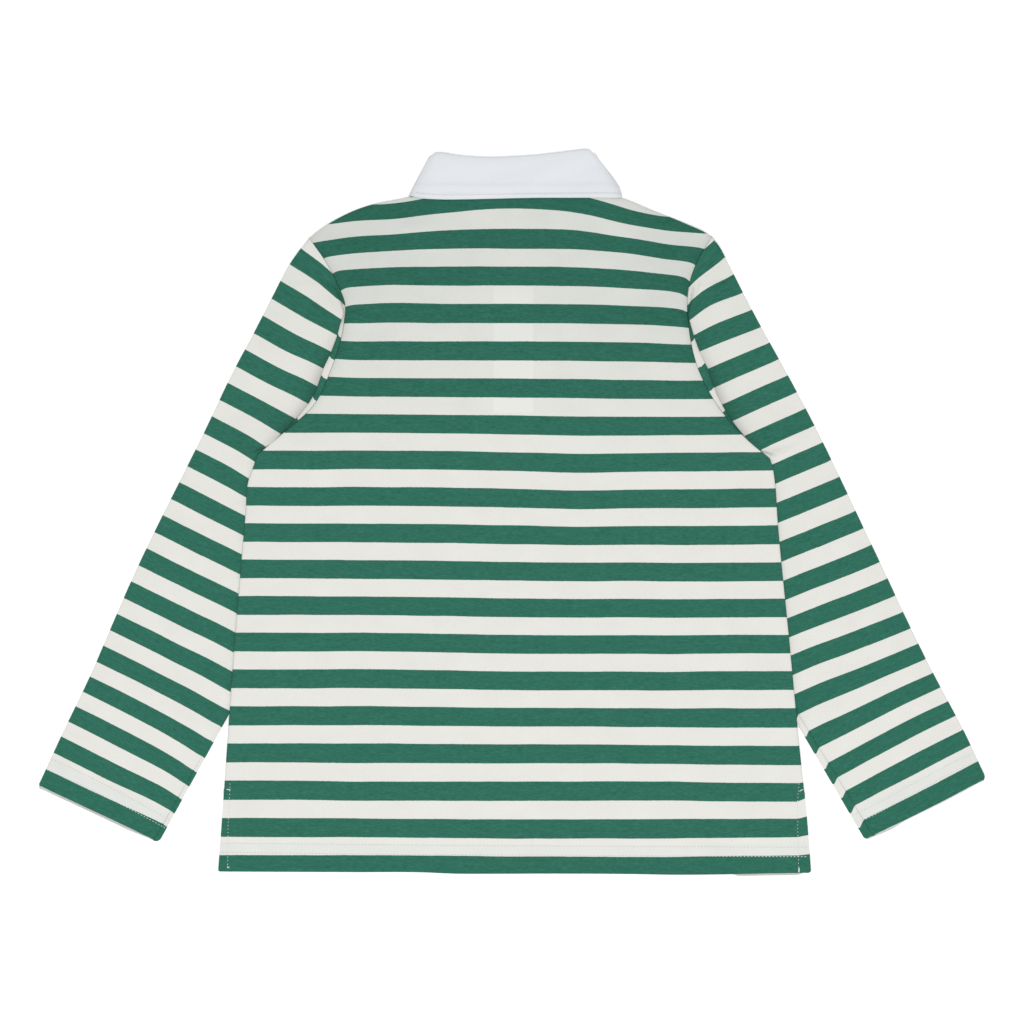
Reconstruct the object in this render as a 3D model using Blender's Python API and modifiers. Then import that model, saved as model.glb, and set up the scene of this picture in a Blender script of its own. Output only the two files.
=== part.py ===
"""Child's long-sleeved rugby shirt, lying flat with its back up.

Every cloth piece is a thin wall, and the walls lie on each other in layers.  The sleeves are
flattened tubes that swing down along the body.  Each runs in under the body's side, and above
the armpit its top sheet doubles back beside the armhole seam in a knife pleat.  The front
panel lies on the table, climbs over both sleeves, the collar's leaves and the placket, and
the back panel follows it one layer up.

Lengths are in millimetres until a mesh is made: X runs across the shirt, Y from hem to neck
and Z up from the table.  "left" is the side at -X.  Tables give distances from X = 0.
"""

import math
from collections import namedtuple

import bmesh
import bpy
import numpy as np

MM = 0.001

# Cloth and layers
WALL = 1.0
GAP = 0.3
PITCH = WALL + GAP
FOLD = PITCH / 2.0
SEAM_GAP = 0.5

# Placket and buttons
PLACKET_X = 1.0
PLACKET_WIDTH = 27.0
BUTTON_RADIUS = 5.5
BUTTON_HEIGHT = 1.6
BUTTON_HOLE_RADIUS = 0.9
BUTTON_HOLE_SPREAD = 1.7
BUTTON_RIM = 0.4
BUTTON_HEIGHTS_ON_PLACKET = (156.0, 121.0, 86.0)

# Neck
NECK_X = 2.0
NECK_HALF = 65.0
NECK_CORNER_Y = 222.5
BACK_NECK_Y = 221.5
FRONT_NECK_Y = 173.0
NECKLINE_POWER = 2.5
NECK_FLAT_MARGIN = 1.0

# How fast a panel's rows straighten out below its top line
TOP_LINE_POWER = 1.5

# Where the front panel climbs over what lies under it, and how far that slope runs
LEAF_CENTRE_Y = 205.0
LEAF_REACH = 88.0
SLEEVE_MARGIN = 10.0
PLACKET_MARGIN = 8.0
SLOPE = 30.0
PLACKET_SLOPE = 22.0

# Soft swell of a sleeve's top sheet, clear of its edges and of the body
SWELL = 1.2
SWELL_EDGE = 18.0
SWELL_CLEAR = 12.0
SWELL_SLOPE = 25.0

# Heights of the main points on each side, and the sleeve's inner fold
Side = namedtuple("Side", "name sign column tip_y armpit_y hem_y cuff_y tuck cuff_inner")
LEFT = Side("left", -1, 1, 191.5, 39.9, -251.5, -190.4, (-98.0, 42.7), (-249.2, -230.3))
RIGHT = Side("right", 1, 2, 192.5, 37.1, -252.7, -184.3, (95.2, 31.5), (248.9, -228.2))

# Armhole seam: share of its drop from shoulder tip to armpit, left and right distance
ARMHOLE = np.array([
    (0.00, 143.2, 140.0),
    (0.10, 131.1, 130.4),
    (0.20, 122.9, 124.4),
    (0.30, 116.8, 122.5),
    (0.40, 117.6, 123.4),
    (0.60, 126.2, 130.5),
    (0.80, 142.4, 148.2),
    (0.90, 160.0, 162.0),
    (1.00, 177.8, 178.5),
])

# Side seam: share of its fall from armpit to hem, left and right distance
SIDE_SEAM = np.array([
    (0.00, 177.8, 178.5),
    (0.06, 184.2, 182.9),
    (0.14, 186.3, 185.4),
    (0.43, 193.6, 193.7),
    (0.70, 199.3, 201.2),
    (0.87, 202.8, 206.4),
    (1.00, 205.6, 209.3),
])
VENT_FALL = 0.80

# Shoulder: share of the way from neck corner to shoulder tip, left and right height
SHOULDER = np.array([
    (0.0, 222.5, 222.5),
    (0.2, 219.0, 218.2),
    (0.4, 216.0, 212.0),
    (0.6, 211.0, 206.3),
    (0.8, 202.9, 200.0),
    (0.9, 197.9, 196.8),
    (1.0, 191.5, 192.5),
])

# Sleeve's outer fold: share of its fall from shoulder tip to cuff, left and right distance
SLEEVE_OUTER = np.array([
    (0.00, 143.2, 140.0),
    (0.05, 156.2, 151.5),
    (0.10, 166.1, 161.0),
    (0.17, 180.3, 175.1),
    (0.60, 258.8, 256.5),
    (1.00, 331.3, 331.3),
])

# Knife pleat along the armhole: drop, turn of the fold in half turns, depth hidden under
# the fold, and the width of sleeve cloth that shows between seam and fold, left and right
PLEAT = np.array([
    (0.20, 0.0, 0.0, 0.0, 0.0),
    (0.30, 0.5, 0.3, 0.0, 0.0),
    (0.40, 1.0, 2.0, 3.0, 2.0),
    (0.60, 1.0, 6.0, 5.7, 7.0),
    (0.80, 1.0, 3.0, 4.2, 2.8),
    (0.90, 0.5, 0.3, 0.0, 0.8),
    (1.00, 0.0, 0.0, 0.0, 0.0),
])
PLEAT_SLOPE = 30.0
PLEAT_END = 0.1
CRESCENT_SLOPE = 0.45
CRESCENT_LEAST = 0.4

# Sleeve rows: how far below the shoulder tip the outer fold starts, how far above the armpit
# the armpit's row meets that fold, and how far in from the tip the tuck starts
SHOULDER_BLUNT = 4.0
ARMPIT_ROW_RISE = 17.0
TUCK_START_IN = 3.0

# Half of the collar, from its middle or side on: share of the way, then the distance and
# height of the neck seam, of the fold and of the outer edge
COLLAR_BACK = np.array([
    (0.0, 0.0, 222.0, 0.0, 248.2, 0.0, 218.2),
    (0.5, 34.0, 222.4, 30.0, 250.0, 38.0, 219.2),
    (1.0, 63.0, 223.2, 56.8, 252.2, 74.4, 221.4),
])
COLLAR_FRONT = np.array([
    (0.0, 63.0, 223.2, 56.8, 252.2, 74.4, 221.4),
    (0.5, 49.0, 196.5, 43.0, 211.0, 66.0, 176.0),
    (1.0, 3.5, 173.6, 3.0, 182.5, 40.0, 134.0),
])

# Rows and columns of the walls
ARMHOLE_ROWS = 10
SIDE_ROWS = 11
SLEEVE_ROWS = 8
NECK_CORNER_SHARE = 0.605
SHOULDER_COLUMNS = 5
NECK_COLUMNS = 4
SLOT_LAST_ROW = 8
CRESCENT_STEPS = 2
ARC_STEPS = 3
TOP_STEPS = 6
FOLD_STEPS = 4
BOTTOM_STEPS = 6
RETURN_STEPS = 3
COLLAR_STEPS = 4
BUTTON_SIDES = 24

# An edge that rolls down over the panel under it: how far in from the edge each point lies,
# flat and rolled, and how far down a rolled one lies
ROLL = 0.8
ROLL_END = 0.5
EDGE_FLAT = ROLL * np.array((0.0, 0.33, 0.66, 1.0))
EDGE_ROLLED = ROLL * np.array((0.0, 0.0, 0.29, 1.0))
EDGE_DOWN = ROLL * np.array((1.0, 1.0, 0.29, 0.0)) + (ROLL_END, 0.0, 0.0, 0.0)

# Colour, roughness
STRIPED_JERSEY = ("striped jersey", (0.52, 0.60, 0.55, 1.0), 0.85)
COLLAR_TWILL = ("collar twill", (0.76, 0.80, 0.83, 1.0), 0.80)
PLACKET_TWILL = ("placket twill", (0.78, 0.79, 0.78, 1.0), 0.80)
BUTTON_RUBBER = ("button rubber", (0.80, 0.80, 0.77, 1.0), 0.55)


def level(layer):
    """Height of the middle of the wall in a layer, counted from 0 on the table."""
    return WALL / 2.0 + layer * PITCH


UPPER_BAND_LEVEL = BUTTON_HEIGHT + GAP + WALL / 2.0
UNDER_BAND_LEVEL = UPPER_BAND_LEVEL + PITCH


def ease(share):
    """Smooth step from 0 to 1."""
    share = np.clip(share, 0.0, 1.0)
    return share * share * (3.0 - 2.0 * share)


def mix(start, end, share):
    """Straight mix of two values."""
    return start + (end - start) * share


def smooth(table, column, at):
    """Value at a share of the smooth curve through one column of a table."""
    knots, values = table[:, 0], table[:, column]
    slopes = np.gradient(values, knots)
    at = np.clip(at, knots[0], knots[-1])
    index = np.clip(np.searchsorted(knots, at) - 1, 0, len(knots) - 2)
    span = knots[index + 1] - knots[index]
    u = (at - knots[index]) / span
    start = values[index] * (1.0 + 2.0 * u) + slopes[index] * span * u
    end = values[index + 1] * (3.0 - 2.0 * u) - slopes[index + 1] * span * (1.0 - u)
    return start * (1.0 - u) ** 2 + end * u ** 2


def armhole(side, drop):
    """Point of the armhole seam at a share of its drop."""
    x = side.sign * smooth(ARMHOLE, side.column, drop)
    return np.array((x, mix(side.tip_y, side.armpit_y, drop)))


def body_edge(side, station):
    """Point of the body's edge: station 0 to 1 is the armhole, 1 to 2 the side seam."""
    if station <= 1.0:
        return armhole(side, station)
    fall = station - 1.0
    x = side.sign * smooth(SIDE_SEAM, side.column, fall)
    return np.array((x, mix(side.armpit_y, side.hem_y, fall)))


def clear_of_body(side, x, y):
    """How far outside the body's edge a point lies, measured along X."""
    drop = (side.tip_y - y) / (side.tip_y - side.armpit_y)
    fall = (side.armpit_y - y) / (side.armpit_y - side.hem_y)
    by_armhole = smooth(ARMHOLE, side.column, drop)
    by_side_seam = smooth(SIDE_SEAM, side.column, fall)
    return side.sign * x - np.where(drop < 1.0, by_armhole, by_side_seam)


def sleeve_outer(side, y):
    """Point of the sleeve's outer fold at a height, half a wall in from the cloth's outside."""
    fall = (side.tip_y - y) / (side.tip_y - side.cuff_y)
    x = smooth(SLEEVE_OUTER, side.column, fall) - WALL / 2.0 - FOLD
    return np.array((side.sign * x, y))


def beyond_sleeve(side, x, y):
    """Distance from the part of a sleeve that lies under the body, negative inside it."""
    tuck = np.array(side.tuck)
    tip = armhole(side, 0.0)
    along_fold = np.array(side.cuff_inner) - tuck
    along_end = tip - tuck
    distances = []
    for along, turn in ((along_fold, -side.sign), (along_end, side.sign)):
        length = np.hypot(*along)
        away = turn * np.array((-along[1], along[0])) / length
        distances.append((x - tuck[0]) * away[0] + (y - tuck[1]) * away[1])
    return np.maximum(*distances)


def beyond_placket(x, y):
    """Distance from the placket's bands."""
    across = np.maximum(np.abs(x - PLACKET_X) - PLACKET_WIDTH / 2.0, 0.0)
    along = np.maximum(np.maximum(placket_bottom() - y, y - FRONT_NECK_Y), 0.0)
    return np.hypot(across, along)


def climb(distance, margin, slope):
    """1 within a margin of something, easing to 0 over a slope."""
    return ease(1.0 - (distance - margin) / slope)


def front_level(x, y):
    """Mid-height of the front panel, which lies on the table or on what is under it."""
    leaves = climb(np.hypot(x - NECK_X, y - LEAF_CENTRE_Y), LEAF_REACH, SLOPE)
    bands = climb(beyond_placket(x, y), PLACKET_MARGIN, PLACKET_SLOPE)
    rises = [PITCH * leaves, (UPPER_BAND_LEVEL - level(0)) * bands]
    for side in (LEFT, RIGHT):
        rises.append(2.0 * PITCH * climb(beyond_sleeve(side, x, y), SLEEVE_MARGIN, SLOPE))
    return level(0) + np.max(rises, axis=0)


def back_level(x, y):
    """Mid-height of the back panel, one layer above the front panel and the placket."""
    bands = climb(beyond_placket(x, y), PLACKET_MARGIN, PLACKET_SLOPE)
    over_bands = level(1) + (UNDER_BAND_LEVEL + PITCH - level(1)) * bands
    return np.maximum(front_level(x, y) + PITCH, over_bands)


def shoulder_or_neck(neck_y, x):
    """Height of a panel's top edge: shoulders outside the neck corners, neckline between."""
    side = LEFT if x < NECK_X else RIGHT
    out = abs(x - NECK_X)
    tip = abs(armhole(side, 0.0)[0] - NECK_X)
    if out >= NECK_HALF:
        return smooth(SHOULDER, side.column, (out - NECK_HALF) / (tip - NECK_HALF))
    flat = PLACKET_WIDTH / 2.0 + NECK_FLAT_MARGIN
    share = max(out - flat, 0.0) / (NECK_HALF - flat)
    return mix(neck_y, NECK_CORNER_Y, share ** NECKLINE_POWER)


def half_columns(edge_x, placket_x, inset, roll):
    """X of the columns from a body edge, set in, to the placket's side."""
    inward = math.copysign(1.0, placket_x - edge_x)
    edge_x = edge_x + inward * inset
    edge = edge_x + inward * mix(EDGE_FLAT, EDGE_ROLLED, roll)
    to_neck = np.linspace(0.0, NECK_CORNER_SHARE, SHOULDER_COLUMNS + 1)[1:]
    to_placket = np.linspace(NECK_CORNER_SHARE, 1.0, NECK_COLUMNS + 1)[1:]
    shares = np.concatenate((to_neck, to_placket))
    return np.concatenate((edge, mix(edge_x, placket_x, shares)))


def row_columns(station, inset, roll):
    """X of all the columns of one panel row, and the heights of its two ends."""
    left = body_edge(LEFT, station)
    right = body_edge(RIGHT, station)
    placket_left = PLACKET_X - PLACKET_WIDTH / 2.0
    placket_right = PLACKET_X + PLACKET_WIDTH / 2.0
    from_left = half_columns(left[0], placket_left, inset, roll)
    from_right = half_columns(right[0], placket_right, inset, roll)
    x = np.concatenate((from_left, (PLACKET_X,), from_right[::-1]))
    return x, mix(left[1], right[1], (x - left[0]) / (right[0] - left[0]))


def panel_points(neck_y, mid_level, inset, rolls):
    """Mid-surface of the back or the front: rows from the top edge down to the hem.

    Along the shoulders and the side seams the edge is set in, and that of the back rolls
    down over that of the front.  At the armholes, vents, neck and hem it ends flat.  The
    front's edge stays set in for one more row and column, clear of where the roll ends.
    """
    spare = 0 if rolls else 1
    top_x, top_line = row_columns(0.0, 0.0, 0.0)
    top_y = np.array([shoulder_or_neck(neck_y, x) for x in top_x])
    set_in = np.zeros(len(top_x))
    edges = len(EDGE_FLAT)
    last = edges + SHOULDER_COLUMNS - 1 + spare
    set_in[edges * (1 - spare):last] = 1.0
    set_in = np.maximum(set_in, set_in[::-1])
    top_roll = set_in if rolls else np.zeros(len(top_x))
    drop_height = LEFT.tip_y - LEFT.armpit_y
    rows = []
    for flat_in, rolled_in, down in zip(EDGE_FLAT, EDGE_ROLLED, EDGE_DOWN):
        x, _ = row_columns(flat_in / drop_height, 0.0, 0.0)
        y = top_y - inset * set_in - mix(flat_in, rolled_in, top_roll)
        rows.append((x, y, down * top_roll))
    side_step = 1.0 / SIDE_ROWS
    stations = np.linspace(0.0, 1.0, ARMHOLE_ROWS + 1)[1:]
    stations = np.append(stations, 1.0 + side_step * np.arange(1, SIDE_ROWS + 1))
    for station in stations:
        joined = 1.0 < station + side_step * spare and station < 1.0 + VENT_FALL + side_step * spare
        roll = 1.0 if joined and rolls else 0.0
        x, line = row_columns(station, inset if joined else 0.0, roll)
        fade = max(1.0 - station, 0.0) ** TOP_LINE_POWER
        down = np.zeros(len(x))
        down[:edges] = EDGE_DOWN * roll
        down[-edges:] = EDGE_DOWN[::-1] * roll
        rows.append((x, line + (top_y - top_line) * fade, down))
    return np.array([
        np.stack((x, y, mid_level(x, y) - down), axis=1) for x, y, down in rows
    ])


def placket_bottom():
    """Height of the slot's lower end, on a row of the front panel."""
    station = SLOT_LAST_ROW / ARMHOLE_ROWS
    left = body_edge(LEFT, station)
    right = body_edge(RIGHT, station)
    share = (PLACKET_X - left[0]) / (right[0] - left[0])
    line = mix(left[1], right[1], share)
    top_line = mix(LEFT.tip_y, RIGHT.tip_y, share)
    return line + (FRONT_NECK_Y - top_line) * (1.0 - station) ** TOP_LINE_POWER


def sleeve_swell(side, points, outer, inner):
    """Soft rise of the sleeve's upper points away from its two folds and from the body."""
    plan = points[:, :2]
    from_outer = np.hypot(*(plan - outer).T)
    from_inner = np.hypot(*(plan - inner).T)
    beside_body = clear_of_body(side, plan[:, 0], plan[:, 1])
    clear = ease((beside_body - SWELL_CLEAR) / SWELL_SLOPE)
    return SWELL * clear * ease(np.minimum(from_outer, from_inner) / SWELL_EDGE)


def pleat_profile(side, drop):
    """Top sheet beside the armhole seam: steps outward and heights, and how high it ends.

    The sheet leaves the seam as a narrow crescent, turns up and back through two arcs and
    carries on outward over itself.  A part turn makes a plain step, no turn leaves it flat.
    """
    turn = math.pi * np.interp(drop, PLEAT[:, 0], PLEAT[:, 1])
    depth = np.interp(drop, PLEAT[:, 0], PLEAT[:, 2])
    crescent = np.interp(drop, PLEAT[:, 0], PLEAT[:, 2 + side.column])
    arc_angles = turn * (np.arange(ARC_STEPS) + 0.5) / ARC_STEPS
    angles = np.concatenate((arc_angles, (turn,), arc_angles[::-1]))
    arc_length = math.pi * FOLD / ARC_STEPS
    lengths = np.full(len(angles), arc_length)
    lengths[ARC_STEPS] = depth
    outward = np.cumsum(lengths * np.cos(angles))
    upward = np.cumsum(lengths * np.sin(angles))
    run = max(CRESCENT_LEAST, crescent + FOLD - outward[-1])
    seam_rise = min(upward[-1], CRESCENT_SLOPE * run)
    crescent_out = np.linspace(0.0, run, CRESCENT_STEPS + 1)
    crescent_up = seam_rise * (1.0 - crescent_out / run)
    return (np.concatenate((crescent_out, run + outward)),
            np.concatenate((crescent_up, upward)))


def edge_fold(centre, direction, top, bottom):
    """Half round that carries a sheet at one height over to a sheet at another."""
    angles = np.linspace(math.pi / 2.0, -math.pi / 2.0, FOLD_STEPS + 1)[1:]
    plan = centre + np.outer(FOLD * np.cos(angles), direction)
    middle = (top + bottom) / 2.0
    heights = middle + (top - bottom) / 2.0 * np.sin(angles)
    return np.column_stack((plan, heights))


def straight(start, end, steps, height):
    """Points of a level run, without the first."""
    shares = np.linspace(0.0, 1.0, steps + 1)[1:, None]
    plan = mix(np.asarray(start), np.asarray(end), shares)
    return np.column_stack((plan, np.full(steps, height)))


def sleeve_row(side, seam, outer, inner, drop=None):
    """One row round the sleeve, from the seam out, round under it and back over the tuck.

    Above the armpit, where drop is given, the top sheet starts at the back's armhole seam
    with its pleat and the tucked sheet ends under the front's.  Below it the row closes.
    """
    outward = outer - seam
    width = np.hypot(*outward)
    outward = outward / width
    steps = CRESCENT_STEPS + 2 * ARC_STEPS + 1 + TOP_STEPS
    reach = np.linspace(0.0, width, steps + 1)
    heights = np.full(steps + 1, level(1))
    if drop is not None:
        raised = 2.0 * PITCH * ease((1.0 - drop) / PLEAT_END)
        if PLEAT[0, 0] < drop:
            out, up = pleat_profile(side, drop)
            top_out = np.linspace(out[-1], width, TOP_STEPS + 1)[1:]
            raised = max(raised, up[-1])
            reach = np.concatenate((out, top_out))
            sheet = raised * ease(1.0 - (top_out - out[-1]) / PLEAT_SLOPE)
            heights = level(1) + np.concatenate((up, sheet))
        else:
            heights = level(1) + raised * ease(1.0 - reach / PLEAT_SLOPE)
    top = np.column_stack((seam + reach[:, None] * outward, heights))
    inward = (inner - outer) / np.hypot(*(inner - outer))
    end = seam if drop is None else armhole(side, drop)
    tucked = straight(inner, end, RETURN_STEPS, level(1))
    top[:, 2] += sleeve_swell(side, top, outer, inner)
    tucked[:, 2] += sleeve_swell(side, tucked, outer, inner)
    return np.concatenate((
        top,
        edge_fold(outer, outward, top[-1, 2], level(0)),
        straight(outer, inner, BOTTOM_STEPS, level(0)),
        edge_fold(inner, inward, level(0), level(1)),
        tucked,
    ))


def sleeve_points(side):
    """Mid-surface of a sleeve: rows from the shoulder tip down to the cuff."""
    outer_start = side.tip_y - SHOULDER_BLUNT
    outer_at_armpit = side.armpit_y + ARMPIT_ROW_RISE
    tuck = np.array(side.tuck)
    tuck_start = armhole(side, 0.0) - (side.sign * TUCK_START_IN, 0.0)
    rows = []
    for drop in np.linspace(0.0, 1.0, ARMHOLE_ROWS + 1)[:-1]:
        seam = armhole(side, drop) + (side.sign * SEAM_GAP, 0.0)
        outer = sleeve_outer(side, mix(outer_start, outer_at_armpit, drop))
        rows.append(sleeve_row(side, seam, outer, mix(tuck_start, tuck, drop), drop))
    armpit = armhole(side, 1.0)
    outer = sleeve_outer(side, outer_at_armpit)
    armpit_share = np.hypot(*(armpit - outer)) / np.hypot(*(tuck - outer))
    cuff_inner = np.array(side.cuff_inner) - (side.sign * (WALL / 2.0 + FOLD), 0.0)
    for share in np.linspace(0.0, 1.0, SLEEVE_ROWS + 1):
        outer = sleeve_outer(side, mix(outer_at_armpit, side.cuff_y, share))
        inner = mix(tuck, cuff_inner, share)
        seam = armpit if share == 0.0 else mix(outer, inner, armpit_share)
        rows.append(sleeve_row(side, seam, outer, inner))
    return np.array(rows)


def collar_profile(seam, fold, edge, normal, base):
    """One section of the collar: stand from seam to fold, round the fold, leaf to its edge.

    The stand lies a fold's radius inside the base line and the leaf as far outside it.
    """
    rise = fold - seam
    length = np.hypot(*rise)
    rise = rise / length
    bend = fold - rise * FOLD
    angles = np.linspace(-math.pi / 2.0, math.pi / 2.0, FOLD_STEPS + 1)
    stand = [seam, mix(seam, bend, 0.5)]
    leaf = [mix(bend, edge, share) for share in (0.25, 0.5, 0.75, 1.0)]
    plan = np.array(stand + [bend + rise * FOLD * math.cos(a) for a in angles] + leaf)
    offset = np.array([-FOLD] * 2 + [FOLD * math.sin(a) for a in angles] + [FOLD] * 4)
    points = np.column_stack((plan, np.zeros(len(plan))))
    return points + base + offset[:, None] * normal


def collar_points():
    """Mid-surface of the collar: sections from one front end round the neck to the other."""
    front_base = level(0) + FOLD
    back_base = level(2) + FOLD
    turn_radius = (back_base - front_base) / 2.0
    turn_level = (back_base + front_base) / 2.0
    side_inset = turn_radius + FOLD + WALL / 2.0
    half = []
    for share in np.linspace(1.0, 0.0, COLLAR_STEPS + 1)[:-1]:
        half.append((COLLAR_FRONT, share, -math.pi / 2.0))
    for angle in np.linspace(-math.pi / 2.0, math.pi / 2.0, FOLD_STEPS + 1)[:-1]:
        half.append((COLLAR_BACK, 1.0, angle))
    for share in np.linspace(1.0, 0.0, COLLAR_STEPS + 1):
        half.append((COLLAR_BACK, share, math.pi / 2.0))
    sections = []
    for sign, order in ((-1.0, half), (1.0, half[-2::-1])):
        for table, share, angle in order:
            values = [smooth(table, column, share) for column in range(1, 7)]
            set_in = side_inset * (share if table is COLLAR_BACK else 1.0 - share)
            pairs = np.array(values).reshape(3, 2) - (set_in, 0.0)
            pairs[:, 0] = NECK_X + sign * pairs[:, 0]
            normal = np.array((sign * math.cos(angle), 0.0, math.sin(angle)))
            base = turn_radius * normal + (0.0, 0.0, turn_level)
            sections.append(collar_profile(*pairs, normal, base))
    return np.array(sections)


def band_points(mid_level):
    """Mid-surface of a placket band, which lies flat in the front panel's slot."""
    x = PLACKET_X + (PLACKET_WIDTH / 2.0 - GAP) * np.linspace(-1.0, 1.0, 3)
    y = np.linspace(FRONT_NECK_Y - GAP, placket_bottom() + GAP, SLOT_LAST_ROW + 1)
    rows, columns = np.meshgrid(y, x, indexing="ij")
    return np.stack((columns, rows, np.full(rows.shape, mid_level)), axis=2)


def new_material(name, colour, roughness):
    """Principled material with one colour."""
    material = bpy.data.materials.new(name)
    material.use_nodes = True
    shader = material.node_tree.nodes["Principled BSDF"]
    shader.inputs["Base Color"].default_value = colour
    shader.inputs["Roughness"].default_value = roughness
    material.diffuse_color = colour
    return material


def new_object(collection, name, mesh, material):
    """Object of its own in the shirt's collection."""
    mesh.materials.append(material)
    piece = bpy.data.objects.new(name, mesh)
    collection.objects.link(piece)
    return piece


def cloth(collection, name, points, material, slot_rows=0):
    """Cloth wall through a grid of mid-surface points, thickened by Solidify.

    Points that meet, where a tube closes, become one.  slot_rows opens a slot that many
    rows deep in the two middle columns.
    """
    rows, columns = points.shape[:2]
    shape = bmesh.new()
    bmesh.ops.create_grid(shape, x_segments=columns - 1, y_segments=rows - 1, size=1.0)
    shape.verts.ensure_lookup_table()
    for vert, point in zip(shape.verts, points.reshape(-1, 3) * MM):
        vert.co = point
    if slot_rows:
        shape.faces.ensure_lookup_table()
        middle = (columns - 1) // 2
        cut = []
        for row in range(slot_rows):
            first = row * (columns - 1) + middle - 1
            cut += [shape.faces[first], shape.faces[first + 1]]
        bmesh.ops.delete(shape, geom=cut, context="FACES")
    bmesh.ops.remove_doubles(shape, verts=shape.verts, dist=1e-7)
    for face in shape.faces:
        face.smooth = True
    mesh = bpy.data.meshes.new(name)
    shape.to_mesh(mesh)
    shape.free()
    piece = new_object(collection, name, mesh, material)
    wall = piece.modifiers.new("wall", "SOLIDIFY")
    wall.thickness = WALL * MM
    wall.offset = 0.0
    return piece


def cylinder(name, radius, depth, sides, x, y, z):
    """Upright cylinder mesh object, not yet in a collection."""
    shape = bmesh.new()
    bmesh.ops.create_cone(shape, cap_ends=True, segments=sides, radius1=radius * MM,
                          radius2=radius * MM, depth=depth * MM)
    mesh = bpy.data.meshes.new(name)
    shape.to_mesh(mesh)
    shape.free()
    piece = bpy.data.objects.new(name, mesh)
    piece.location = (x * MM, y * MM, z * MM)
    return piece


def button(collection, cutters, name, y, material):
    """Round button with a softened rim and two sewing holes, lying face down."""
    piece = cylinder(name, BUTTON_RADIUS, BUTTON_HEIGHT, BUTTON_SIDES,
                     PLACKET_X, y, BUTTON_HEIGHT / 2.0)
    piece.data.materials.append(material)
    collection.objects.link(piece)
    rim = piece.modifiers.new("rim", "BEVEL")
    rim.width = BUTTON_RIM * MM
    rim.segments = 1
    rim.limit_method = "ANGLE"
    for sign in (-1.0, 1.0):
        hole_x = PLACKET_X + sign * BUTTON_HOLE_SPREAD
        cutter = cylinder(f"{name}_hole_{int(sign)}", BUTTON_HOLE_RADIUS,
                          2.0 * BUTTON_HEIGHT, 8, hole_x, y, BUTTON_HEIGHT / 2.0)
        cutter.hide_render = True
        cutter.display_type = "WIRE"
        cutters.objects.link(cutter)
        hole = piece.modifiers.new("hole", "BOOLEAN")
        hole.operation = "DIFFERENCE"
        hole.solver = "EXACT"
        hole.object = cutter
    return piece


def build():
    """Clear the scene and make the shirt."""
    for old in list(bpy.data.objects):
        bpy.data.objects.remove(old, do_unlink=True)
    shirt = bpy.data.collections.new("rugby_shirt")
    cutters = bpy.data.collections.new("cutters")
    for collection in (shirt, cutters):
        bpy.context.scene.collection.children.link(collection)

    jersey = new_material(*STRIPED_JERSEY)
    collar_twill = new_material(*COLLAR_TWILL)
    placket_twill = new_material(*PLACKET_TWILL)
    rubber = new_material(*BUTTON_RUBBER)

    back = panel_points(BACK_NECK_Y, back_level, WALL / 2.0, True)
    front = panel_points(FRONT_NECK_Y, front_level, WALL + GAP, False)
    cloth(shirt, "back", back, jersey)
    top_rows = len(EDGE_FLAT) - 1
    cloth(shirt, "front", front, jersey, slot_rows=top_rows + SLOT_LAST_ROW)
    cloth(shirt, "sleeve_left", sleeve_points(LEFT), jersey)
    cloth(shirt, "sleeve_right", sleeve_points(RIGHT), jersey)
    cloth(shirt, "collar", collar_points(), collar_twill)
    cloth(shirt, "placket_upper", band_points(UPPER_BAND_LEVEL), placket_twill)
    cloth(shirt, "placket_under", band_points(UNDER_BAND_LEVEL), placket_twill)
    for number, y in enumerate(BUTTON_HEIGHTS_ON_PLACKET, 1):
        button(shirt, cutters, f"button_{number}", y, rubber)


build()
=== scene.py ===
# %% [markdown]
# # Rugby shirt, laid flat with its back up
# A child's long-sleeved rugby shirt lies on a pale floor with its back facing up.  Each piece
# that a maker cuts is made here again as dense cloth over its plain solid: back, front, two
# sleeves, collar and placket.  The stripes aren't painted.  Each cloth carries a map of how
# many stripe repeats a point lies down the roll, and the material turns that into colour, so
# the stripes bend wherever the cloth does.
#
# Lengths are in millimetres until a mesh is made.  X runs across the shirt, Y from hem to
# collar and Z up.  "left" is the side at -X.

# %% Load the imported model
import math
from collections import namedtuple

import bpy
import numpy as np
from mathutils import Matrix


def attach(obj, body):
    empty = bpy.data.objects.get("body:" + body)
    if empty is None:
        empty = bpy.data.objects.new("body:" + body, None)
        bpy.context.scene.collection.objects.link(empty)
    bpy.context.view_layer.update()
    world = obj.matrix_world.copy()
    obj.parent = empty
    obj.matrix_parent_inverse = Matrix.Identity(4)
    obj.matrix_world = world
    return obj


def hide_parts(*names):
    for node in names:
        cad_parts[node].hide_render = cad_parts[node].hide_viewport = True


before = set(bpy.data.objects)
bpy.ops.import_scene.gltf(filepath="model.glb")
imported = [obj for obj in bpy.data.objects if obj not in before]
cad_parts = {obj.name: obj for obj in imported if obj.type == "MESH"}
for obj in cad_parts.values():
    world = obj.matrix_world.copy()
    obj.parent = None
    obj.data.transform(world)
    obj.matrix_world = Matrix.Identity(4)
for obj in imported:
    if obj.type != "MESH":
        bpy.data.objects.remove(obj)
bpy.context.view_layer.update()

MM = 0.001
print("solids:", ", ".join(sorted(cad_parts)))

# %% [markdown]
# ## Helpers for shapes
# A laid-out garment is mostly gentle slopes between a few known places.  Two tools cover
# that: an S-shaped step for slopes, and a smooth curve through a short table for outlines and
# for the way the stripes hang.

# %% Smooth steps and curves


def ease(share):
    """S-shaped step: 0 below 0, 1 above 1, and 3s^2 - 2s^3 between."""
    share = np.clip(share, 0.0, 1.0)
    return share * share * (3.0 - 2.0 * share)


def mix(start, end, share):
    """Straight mix: start + (end - start) * share."""
    return start + (end - start) * share


def unit(vector):
    """A direction on the floor plan, brought to length 1."""
    return vector / np.hypot(*vector)


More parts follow.
